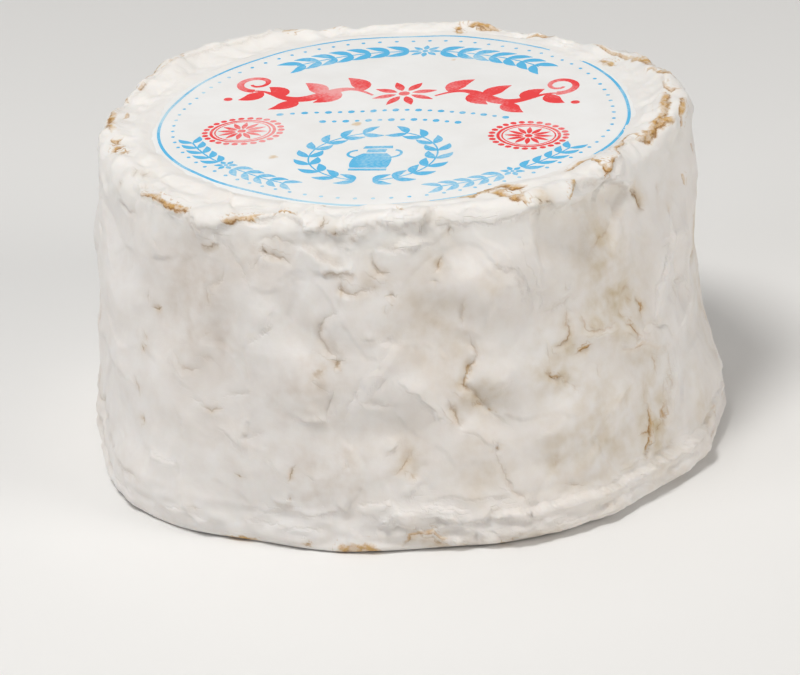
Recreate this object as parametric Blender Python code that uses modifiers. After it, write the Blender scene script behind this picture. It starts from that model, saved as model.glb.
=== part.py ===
# A small drum of soft cheese with a white bloomy rind, and the paper disc that lies on its top.
# The drum is a turned form, then its rind is pushed in and out: a lumpy rim, a flared and folded
# foot, hollows, bulges and folds on the side. A bearing is in degrees round the drum, 0 at the
# front (-Y) and 90 at the right (+X). Sizes below are in millimetres.
import math

import bmesh
import bpy
from mathutils import Vector, noise

MM = 0.001

# Drum
HEIGHT = 56.0              # base to the usual level of the rim's crest
TOP_RADIUS = 50.0
BASE_RADIUS = 57.0
TOP_LEVEL = 54.9           # the rind under the paper
LIP_FOOT_RADIUS = 43.6     # where the rind starts to rise round the paper
CREST_RADIUS = 47.2        # highest line of the rim
SHOULDER = 2.8             # rounding from the crest over to the side
FOOT = 1.2                 # rounding at the base
FLAT_RADIUS = 50.0         # the base is flat out to here
COLUMNS = 120
SIDE_ROWS = 19

# Paper disc
PAPER_RADIUS = 42.3
PAPER_CENTRE = (1.6, 0.8)  # it lies a little off the drum's middle
PAPER_THICKNESS = 0.4
PAPER_GAP = 0.3
PAPER_RINGS = 3
WAVE_LENGTH = 34.0         # slow waves of the top and of the paper on it
WAVE_HEIGHT = 0.45

# Lobes of the outline, as bearing, half width in degrees, and how far out
RIM_LOBES = [
    (-142, 15, 2.4), (-108, 14, -0.5), (-46, 12, 1.8), (-21, 7, -1.9), (13, 8, -1.2),
    (29, 7, 1.2), (60, 12, -3.2), (88, 14, 3.2), (116, 10, 1.0), (138, 11, -0.6), (171, 18, -1.0),
]
FOOT_LOBES = [
    (-120, 22, 0.7), (-82, 12, -0.8), (-48, 9, 0.9), (-28, 8, -0.9), (2, 6, -0.4), (20, 9, 1.7),
    (41, 11, 0.9), (62, 9, 0.8), (150, 20, -0.9),
]
# Rise and fall of the rim's crest, as bearing, half width in degrees, and height
RIM_RISES = [
    (172, 70, 0.9), (-142, 14, 0.5), (-90, 10, 0.6), (-39, 6, -0.7), (-14, 6, -0.4), (30, 7, 0.7),
    (48, 6, -0.7), (64, 9, -0.6), (84, 7, 0.7), (102, 8, 0.9), (116, 6, 0.3), (161, 7, 0.3),
]
# Hollows and bulges of the side, as bearing, level, half width, half height, and how far out
SIDE_FORMS = [
    (86, 28, 34, 13, -2.2),     # drawn-in right side over the flared foot
    (-86, 17, 26, 14, -1.7),
    (-84, 8, 22, 8, -1.3),
    (-86, 46, 14, 7, -0.9),
    (-46, 38, 7, 10, -1.1),
    (-24, 41, 5, 9, 0.9),
    (-33, 32, 4, 7, -0.7),
    (-45, 21, 8, 5, 0.8),
    (-54, 29, 5, 6, -0.6),
    (-19, 31, 4, 3, 0.6),
    (-14, 36, 5, 5, -0.9),
    (-8, 21, 8, 4, -0.7),
    (4, 26, 4, 4, 0.7),
    (29, 36, 5, 6, -0.7),
    (-15, 51, 7, 2.5, -0.9),    # hollow below the front of the rim
    (-5, 40, 8, 5, 0.5),
    (8, 35, 4, 7, -0.8),
    (17, 43, 5, 5, 1.3),        # round boss right of the middle
    (18, 28, 6, 4, 1.0),
    (13, 22, 6, 4, -0.9),
    (1, 13, 4, 5, -0.8),
    (-24, 17, 13, 9, 0.5),
    (44, 47, 10, 6, -1.3),      # hollow below the broken part of the rim
    (42, 37, 7, 6, -0.7),
    (34, 20, 9, 6, 0.6),
    (60, 38, 5, 14, 0.8),
    (51, 11, 3, 7, -0.9),
    (-125, 28, 12, 10, -0.9), (-160, 38, 11, 9, 0.7), (165, 20, 13, 8, -0.8), (132, 36, 9, 11, 0.7),
    (112, 20, 10, 8, -0.7), (-142, 14, 10, 6, 0.6), (150, 46, 12, 5, -0.6), (-100, 48, 9, 5, -0.5),
]
# Folds of the side: a line of (bearing, level) points, how far out, and the half width
SIDE_FOLDS = [
    ([(-4, 7.5), (10, 5.8), (22, 6.6), (34, 6.8), (49, 7.2), (66, 8.0), (84, 7.5)], 0.9, 2.0),
    ([(-23, 53), (-14, 51), (-8, 48)], 0.9, 1.6),
    ([(-1, 30), (9, 21), (15, 16), (18, 5)], 0.6, 1.5),
    ([(-19, 25), (-9, 31), (-2, 34)], 0.5, 1.6),
    ([(34, 32), (44, 28.5), (54, 25), (58, 19)], 0.7, 1.7),
    ([(29, 12), (36, 16), (43, 21)], 0.5, 1.5),
    ([(-39, 54), (-36, 46), (-37, 39), (-40, 31)], 0.7, 1.7),
    ([(-48, 25), (-40, 18), (-32, 11)], 0.5, 1.6),
    ([(-118, 18), (-130, 24), (-139, 34)], 0.6, 1.7),
    ([(174, 44), (160, 36), (148, 31)], 0.6, 1.7),
    ([(104, 8), (122, 6.5), (141, 8)], 0.7, 2.0),
]
LUMPS = [(15.0, 0.7), (8.0, 0.45)]      # size and depth of the uneven rind
CREST_LUMPS = (6.0, 0.8)


def remove_all_objects():
    for item in list(bpy.data.objects):
        bpy.data.objects.remove(item, do_unlink=True)


def smooth_step(low, high, value):
    share = min(max((value - low) / (high - low), 0.0), 1.0)
    return share * share * (3 - 2 * share)


def turn_between(bearing, other):
    """Smallest turn between two bearings, in degrees."""
    return (bearing - other + 180) % 360 - 180


def lobes(table, bearing):
    return sum(size * math.exp(-(turn_between(bearing, centre) / width) ** 2) for centre, width, size in table)


def arc(centre_radius, centre_level, radius, start, end, steps):
    """Points of an arc in the half section, angles in degrees from the horizontal."""
    points = []
    for step in range(steps + 1):
        angle = math.radians(start + (end - start) * step / steps)
        points.append((centre_radius + radius * math.cos(angle), centre_level + radius * math.sin(angle)))
    return points


def drum_section():
    """Half section of the plain drum, from the top's centre over the rim to the base's centre."""
    points = [(PAPER_RADIUS * ring / PAPER_RINGS, TOP_LEVEL) for ring in range(PAPER_RINGS + 1)]
    points.append((LIP_FOOT_RADIUS, TOP_LEVEL + 0.1))
    points.append(((LIP_FOOT_RADIUS + CREST_RADIUS) / 2, (TOP_LEVEL + HEIGHT) / 2 + 0.2))
    points += arc(CREST_RADIUS, HEIGHT - SHOULDER, SHOULDER, 90, 0, 3)
    for row in range(1, SIDE_ROWS):
        share = row / SIDE_ROWS
        points.append((TOP_RADIUS + (BASE_RADIUS - TOP_RADIUS) * share,
                       HEIGHT - SHOULDER + (FOOT - HEIGHT + SHOULDER) * share))
    points += arc(BASE_RADIUS - FOOT, FOOT, FOOT, 0, -90, 3)
    points += [(FLAT_RADIUS, 0.0), (FLAT_RADIUS / 2, 0.0), (0.0, 0.0)]
    return points


def paper_section():
    """Half section of the paper disc, from the centre of its face round its edge to its back."""
    low = TOP_LEVEL + PAPER_GAP
    rings = [PAPER_RADIUS * ring / PAPER_RINGS for ring in range(PAPER_RINGS + 1)]
    return [(ring, low + PAPER_THICKNESS) for ring in rings] + [(ring, low) for ring in reversed(rings)]


def turned(name, section):
    """A mesh turned from a half section, which runs down the outer side, with its poles closed."""
    profile = bpy.data.meshes.new(name + "_section")
    corners = [(radius * MM, 0, level * MM) for radius, level in section]
    profile.from_pydata(corners, [(i, i + 1) for i in range(len(corners) - 1)], [])
    guide = bpy.data.objects.new(name + "_section", profile)
    bpy.context.scene.collection.objects.link(guide)
    screw = guide.modifiers.new("turn", "SCREW")
    screw.steps = COLUMNS
    screw.render_steps = COLUMNS
    screw.use_merge_vertices = True
    screw.merge_threshold = 0.00001
    depsgraph = bpy.context.evaluated_depsgraph_get()
    mesh = bpy.data.meshes.new_from_object(guide.evaluated_get(depsgraph))
    mesh.name = name
    bpy.data.objects.remove(guide, do_unlink=True)
    bm = bmesh.new()
    bm.from_mesh(mesh)
    bmesh.ops.remove_doubles(bm, verts=bm.verts, dist=0.00001)
    bm.to_mesh(mesh)
    bm.free()
    return mesh


def top_wave(x, y):
    return WAVE_HEIGHT * noise.noise(Vector((x / WAVE_LENGTH, y / WAVE_LENGTH, 0.7)))


def fold_share(bearing, level, line, width):
    """How much of a fold's height a place on the side takes, from its distance to the fold's line."""
    here = Vector((0.0, level))
    scale = math.radians(TOP_RADIUS)
    corners = [Vector((turn_between(place, bearing) * scale, height)) for place, height in line]
    nearest = min(distance_to_stretch(here, corners[i], corners[i + 1]) for i in range(len(corners) - 1))
    return math.exp(-(nearest / width) ** 2)


def distance_to_stretch(point, start, end):
    run = end - start
    share = min(max((point - start).dot(run) / run.length_squared, 0.0), 1.0)
    return (start + run * share - point).length


def side_push(bearing, level, place):
    """How far out the rind stands from the plain drum at a bearing and level."""
    share = level / HEIGHT
    push = lobes(RIM_LOBES, bearing) * share ** 2 + lobes(FOOT_LOBES, bearing) * (1 - share) ** 2
    for centre, middle, half_width, half_height, depth in SIDE_FORMS:
        across = math.radians(turn_between(bearing, centre)) * TOP_RADIUS / half_width
        along = (level - middle) / half_height
        push += depth * math.exp(-across ** 2 - along ** 2)
    for line, height, width in SIDE_FOLDS:
        push += height * fold_share(bearing, level, line, width)
    for size, depth in LUMPS:
        push += depth * noise.noise(place / size)
    return push


def shape_drum(mesh):
    """Push the turned drum into the uneven form of the real one. Its base stays flat."""
    for vertex in mesh.vertices:
        place = vertex.co / MM
        radius = math.hypot(place.x, place.y)
        level = place.z
        bearing = math.degrees(math.atan2(place.x, -place.y))
        on_top = level > HEIGHT - SHOULDER
        if on_top:
            grip = smooth_step(PAPER_RADIUS, CREST_RADIUS, radius)
        elif level < FOOT:
            grip = smooth_step(FLAT_RADIUS, BASE_RADIUS - FOOT, radius)
        else:
            grip = 1.0
        if radius > 0:
            wider = (radius + grip * side_push(bearing, level, place)) / radius
            place.x *= wider
            place.y *= wider
        if on_top:
            place.x += PAPER_CENTRE[0] * (1 - grip)
            place.y += PAPER_CENTRE[1] * (1 - grip)
            size, depth = CREST_LUMPS
            place.z += top_wave(place.x, place.y) * (1 - grip)
            place.z += grip * (lobes(RIM_RISES, bearing) + depth * noise.noise(place / size))
        vertex.co = place * MM


def shape_paper(mesh):
    """Lay the disc over the waves of the top."""
    for vertex in mesh.vertices:
        place = vertex.co / MM
        place.x += PAPER_CENTRE[0]
        place.y += PAPER_CENTRE[1]
        place.z += top_wave(place.x, place.y)
        vertex.co = place * MM


def centre_on_origin(meshes):
    """Slide the meshes along X and Y so that the drum, the first of them, is centred on the origin."""
    across = [vertex.co.x for vertex in meshes[0].vertices]
    along = [vertex.co.y for vertex in meshes[0].vertices]
    middle = Vector(((min(across) + max(across)) / 2, (min(along) + max(along)) / 2, 0))
    for mesh in meshes:
        for vertex in mesh.vertices:
            vertex.co -= middle


def material(name, colour, roughness):
    finish = bpy.data.materials.new(name)
    finish.use_nodes = True
    shader = finish.node_tree.nodes["Principled BSDF"]
    shader.inputs["Base Color"].default_value = (*colour, 1)
    shader.inputs["Roughness"].default_value = roughness
    shader.inputs["Metallic"].default_value = 0
    return finish


def add_object(name, mesh, finish, collection):
    mesh.shade_smooth()
    mesh.set_sharp_from_angle(angle=math.radians(50))
    mesh.materials.append(finish)
    item = bpy.data.objects.new(name, mesh)
    collection.objects.link(item)
    return item


def main():
    remove_all_objects()
    cheese = bpy.data.collections.new("soft_cheese")
    bpy.context.scene.collection.children.link(cheese)
    drum = turned("drum", drum_section())
    shape_drum(drum)
    disc = turned("disc", paper_section())
    shape_paper(disc)
    centre_on_origin([drum, disc])
    add_object("cheese", drum, material("bloomy rind", (0.68, 0.62, 0.56), 0.85), cheese)
    add_object("label", disc, material("matt paper", (0.85, 0.84, 0.83), 0.7), cheese)


main()
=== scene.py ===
import math
import random

import bmesh
import bpy
import numpy as np
from mathutils import Matrix, Vector
from mathutils.bvhtree import BVHTree


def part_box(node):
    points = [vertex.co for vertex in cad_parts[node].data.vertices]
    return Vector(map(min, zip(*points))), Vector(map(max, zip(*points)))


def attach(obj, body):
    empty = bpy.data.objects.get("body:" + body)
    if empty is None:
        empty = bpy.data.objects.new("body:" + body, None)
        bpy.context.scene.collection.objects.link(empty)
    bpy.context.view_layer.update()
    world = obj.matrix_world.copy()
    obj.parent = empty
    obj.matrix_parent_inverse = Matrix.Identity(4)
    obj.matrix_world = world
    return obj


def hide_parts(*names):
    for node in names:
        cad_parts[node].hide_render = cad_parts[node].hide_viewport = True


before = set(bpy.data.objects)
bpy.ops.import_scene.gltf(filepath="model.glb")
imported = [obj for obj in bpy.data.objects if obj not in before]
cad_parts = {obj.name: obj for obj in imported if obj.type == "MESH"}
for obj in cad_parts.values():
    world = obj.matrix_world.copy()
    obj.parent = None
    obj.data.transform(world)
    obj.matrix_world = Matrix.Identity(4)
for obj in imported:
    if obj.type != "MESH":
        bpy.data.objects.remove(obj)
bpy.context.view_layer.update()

# A small drum of soft white cheese with a printed paper disc on it. Sizes in the dictionaries are
# in millimetres unless a note says otherwise. A bearing is in degrees round the drum, 0 at the
# front (-Y) and 90 at the right (+X).
mm = 0.001
overTop = 80      # well above the drum, where rays start that look down on it
scene = bpy.context.scene
scene.view_settings.view_transform = "Standard"


# small tools

def linear(hexColour):
    channels = [int(hexColour[i:i + 2], 16) / 255 for i in (1, 3, 5)]
    return [c / 12.92 if c <= 0.04045 else ((c + 0.055) / 1.055) ** 2.4 for c in channels] + [1]


def addNode(tree, kind, links=None, **settings):
    made = tree.nodes.new("ShaderNode" + kind)
    for name, value in settings.items():
        setattr(made, name, value)
    sockets = made.inputs
    if kind == "Mix":    # its sockets share their names, so only those of its data type count
        sockets = {socket.name: socket for socket in made.inputs if socket.enabled}
    for socket, value in (links or {}).items():
        if isinstance(value, bpy.types.NodeSocket):
            tree.links.new(value, sockets[socket])
        else:
            sockets[socket].default_value = value
    return made


def newFinish(name, constants):
    # a material whose shader has these plain values
    finish = bpy.data.materials.new(name)
    finish.use_nodes = True
    shader = finish.node_tree.nodes["Principled BSDF"]
    for socket, value in constants.items():
        shader.inputs[socket].default_value = value
    return finish, finish.node_tree, shader


def smoothStep(low, high, value):
    share = np.clip((value - low) / (high - low), 0, 1)
    return share * share * (3 - 2 * share)


# what the noise picks from for each cell of space: slopes, by primes and a scramble
slopes = np.random.RandomState(7).normal(size=(256, 3))
slopes /= np.linalg.norm(slopes, axis=1)[:, None]
cellPrimes = np.array([73856093, 19349663, 83492791])
scramble = 1274126177


def noiseAt(points, size, seed):
    # smooth noise, mostly from -1 to 1, with lumps of the given size
    spot = points / size + seed * 31.7
    cell = np.floor(spot).astype(np.int64)
    inside = spot - cell
    ease = inside ** 3 * (inside * (inside * 6 - 15) + 10)
    total = np.zeros(len(points))
    for corner in range(8):
        step = np.array([corner & 1, corner >> 1 & 1, corner >> 2])
        mixed = (cell + step) @ cellPrimes
        mixed = (mixed ^ mixed >> 13) * scramble
        slope = slopes[mixed >> 16 & 255]
        weight = np.prod(np.where(step, ease, 1 - ease), axis=1)
        total += weight * ((inside - step) * slope).sum(axis=1)
    return total * 1.8


def noisesAt(points, size, seeds):
    return np.stack([noiseAt(points, size, seed) for seed in seeds], axis=1)


def turnBetween(bearing, other):
    return (bearing - other + 180) % 360 - 180


def polar(bearing, radius):
    return radius * math.sin(math.radians(bearing)), -radius * math.cos(math.radians(bearing))


def turned(section, columns):
    # a grid wrapped round the axis, its rows on a section from the axis out and back to it
    bm = bmesh.new()
    rows = len(section) - 1
    bmesh.ops.create_grid(bm, x_segments=columns, y_segments=rows, size=0.5)
    for vertex in bm.verts:
        angle = (vertex.co.x + 0.5) * 2 * math.pi
        radius, level = section[round((vertex.co.y + 0.5) * rows)]
        vertex.co = Vector((radius * math.sin(angle), -radius * math.cos(angle), level)) * mm
    bmesh.ops.remove_doubles(bm, verts=bm.verts, dist=0.001 * mm)
    bmesh.ops.recalc_face_normals(bm, faces=bm.faces)
    return bm


def pieceFrom(bm, name, material):
    mesh = bpy.data.meshes.new(name)
    bm.to_mesh(mesh)
    bm.free()
    mesh.shade_smooth()
    mesh.materials.append(material)
    piece = bpy.data.objects.new(name, mesh)
    scene.collection.objects.link(piece)
    return piece


def smoothGuide(nodeName, levels):
    # a smoothed copy of a node's faceted solid, to cast rays at
    bm = bmesh.new()
    bm.from_mesh(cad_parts[nodeName].data)
    bmesh.ops.remove_doubles(bm, verts=bm.verts, dist=0.01 * mm)
    bmesh.ops.join_triangles(bm, faces=bm.faces, angle_face_threshold=math.radians(40),
                             angle_shape_threshold=math.radians(60))
    mesh = bpy.data.meshes.new("guide")
    bm.to_mesh(mesh)
    bm.free()
    guide = bpy.data.objects.new("guide", mesh)
    scene.collection.objects.link(guide)
    smooth = guide.modifiers.new("smooth", "SUBSURF")
    smooth.levels = smooth.render_levels = levels
    tree = BVHTree.FromObject(guide, bpy.context.evaluated_depsgraph_get())
    bpy.data.objects.remove(guide, do_unlink=True)
    return tree


# camera, floor and lights

camera = {
    "distance": 700, "elevation": 23.52, "roll": -3.61, "target": (-0.34, 0, 14.0),
    "lens": 178.4, "sensor": 36, "frame": (800, 675),    # the frame is in pixels
}


def addCamera():
    data = bpy.data.cameras.new("camera")
    data.lens = camera["lens"]
    data.sensor_width = camera["sensor"]
    data.clip_start = 0.01
    view = bpy.data.objects.new("camera", data)
    scene.collection.objects.link(view)
    tilt = math.radians(camera["elevation"])
    back = Vector((0, -math.cos(tilt), math.sin(tilt)))
    right = Vector((1, 0, 0))
    turn = Matrix((right, back.cross(right), back)).transposed().to_4x4()
    place = Matrix.Translation((Vector(camera["target"]) + back * camera["distance"]) * mm)
    view.matrix_world = place @ turn @ Matrix.Rotation(math.radians(camera["roll"]), 4, "Z")
    scene.camera = view


studio = {
    "floor": "#EBEAE8", "floorSize": 6000,
    "world": "#FFFFFF", "worldStrength": 0.11,
    "lit": (0, 0, 30),      # what the lights point at
    # name, place, size, watts, colour
    "lights": [
        ("key", (-280, -260, 940), 320, 5.8, "#FFFEFC"),
        ("softbox above", (-120, 260, 950), 620, 1.4, "#FFFEFC"),
        ("softbox left", (-820, -330, 480), 420, 1.4, "#F8FAFF"),
        ("fill right", (760, -430, 430), 480, 3.3, "#FFFCF9"),
    ],
}


def addStudio():
    bm = bmesh.new()
    bmesh.ops.create_grid(bm, x_segments=1, y_segments=1, size=studio["floorSize"] / 2 * mm)
    paint = newFinish("matt studio paper", {
        "Base Color": linear(studio["floor"]), "Roughness": 0.9, "Specular IOR Level": 0.1})[0]
    pieceFrom(bm, "floor", paint)
    world = bpy.data.worlds.new("studio")
    scene.world = world
    world.use_nodes = True
    sky = world.node_tree.nodes["Background"]
    sky.inputs["Color"].default_value = linear(studio["world"])
    sky.inputs["Strength"].default_value = studio["worldStrength"]
    for name, place, size, watts, colour in studio["lights"]:
        data = bpy.data.lights.new(name, "AREA")
        data.shape = "DISK"
        data.size = size * mm
        data.energy = watts
        data.color = linear(colour)[:3]
        light = bpy.data.objects.new(name, data)
        scene.collection.objects.link(light)
        light.location = Vector(place) * mm
        aim = Vector(studio["lit"]) * mm - light.location
        light.rotation_euler = aim.to_track_quat("-Z", "Y").to_euler()


addCamera()
addStudio()
print("camera, floor and lights made")


# paper disc: where it lies, and its slow waves

low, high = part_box("label")
paper = {
    "centre": ((low[0] + high[0]) / 2 / mm, (low[1] + high[1]) / 2 / mm),
    "radius": 42.2, "thickness": 0.14,
    "solidRadius": 41.5,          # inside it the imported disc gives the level
    # size and height of its cockles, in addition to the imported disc's own slow waves
    "waves": [(16, 0.14), (6, 0.05)],
    "rings": 70, "spokes": 240,
    "white": "#F0F0EF", "damp": "#EBEAE8", "speck": "#D9BD95",
    # damp ochre specks on it: x, y, radius
    "specks": [(-5.4, -2.5, 1.0), (-19.8, -16.4, 0.9), (12.5, 27.0, 0.6)],
}
paperGuide = smoothGuide("label", 1)


def paperLevel(x, y):
    # the paper's upper side at a place; past its edge the level of the edge goes on
    centreX, centreY = paper["centre"]
    level = np.empty(len(x))
    for i, (a, b) in enumerate(zip(x, y)):
        a, b = a - centreX, b - centreY
        inward = min(1, paper["solidRadius"] / max(math.hypot(a, b), 1))
        place = Vector((centreX + a * inward, centreY + b * inward, overTop)) * mm
        level[i] = paperGuide.ray_cast(place, Vector((0, 0, -1)))[0].z / mm
    flat = np.stack([x, y, np.zeros(len(x))], axis=1)
    for i, (size, height) in enumerate(paper["waves"]):
        level += height * noiseAt(flat, size, 50 + i)
    return level


# rind: the drum's whole skin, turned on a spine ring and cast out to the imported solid

rind = {
    # the blank is a round tube about a spine of two rings, one over the other
    "spineRadius": 44.0, "spineTop": 50.5, "spineFoot": 3.0, "tube": 3.0,
    "columns": 560, "frontCrowding": 0.42,      # the columns stand closer at the front
    # its rows: under the paper, along the rim, round the shoulder, down the side, round the foot
    "topRadii": (0, 14, 26, 34), "rimStart": 37.5, "rimRow": 0.38, "shoulderRows": 25,
    "sideRow": 0.41,
    "footDegrees": (0, 2, 4, 5.5, 7, 8.5, 10, 11.5, 13, 16, 22, 36, 60, 90),
    "middleLevel": 54.0,
    # where the bloom ends on the paper, from the disc's centre, and where it is the rind again
    "paperEdge": 41.5, "nearPaper": 48, "paperToRim": (43.2, 46.8),
    # where it has crept further in: bearing, half width in degrees, how far
    "creeping": [(28, 9, 2.6), (48, 8, 1.2), (128, 9, 1.6), (3, 16, 0.9), (-140, 12, 0.8),
                 (172, 14, 0.7)],
    # size and depth of the soft unevenness, in addition to the solid's own
    "lumps": [(12.0, 0.5), (6.0, 0.22)],
    "crumple": [(11.0, 0.62), (5.5, 0.30), (2.8, 0.09)],    # ridged folds as of wet tissue
    "rimCrumple": [(6.5, 0.5), (3.2, 0.22), (1.5, 0.1)],
    "footCrumple": (4.2, 0.45),
    "wobble": [(2.2, 0.45), (0.8, 0.25)],                   # how ragged the drawn lines are
    "footInset": {"bearing": -84, "halfWidth": 18, "top": 13, "depth": 1.5},   # at the left
}
sideArc = math.radians(1) * 51      # millimetres along the side in a degree
drawnValues = ("tan", "creaseAcross", "creaseDepth", "creaseStain", "tearAcross", "tearStainAndShadow")

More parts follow.
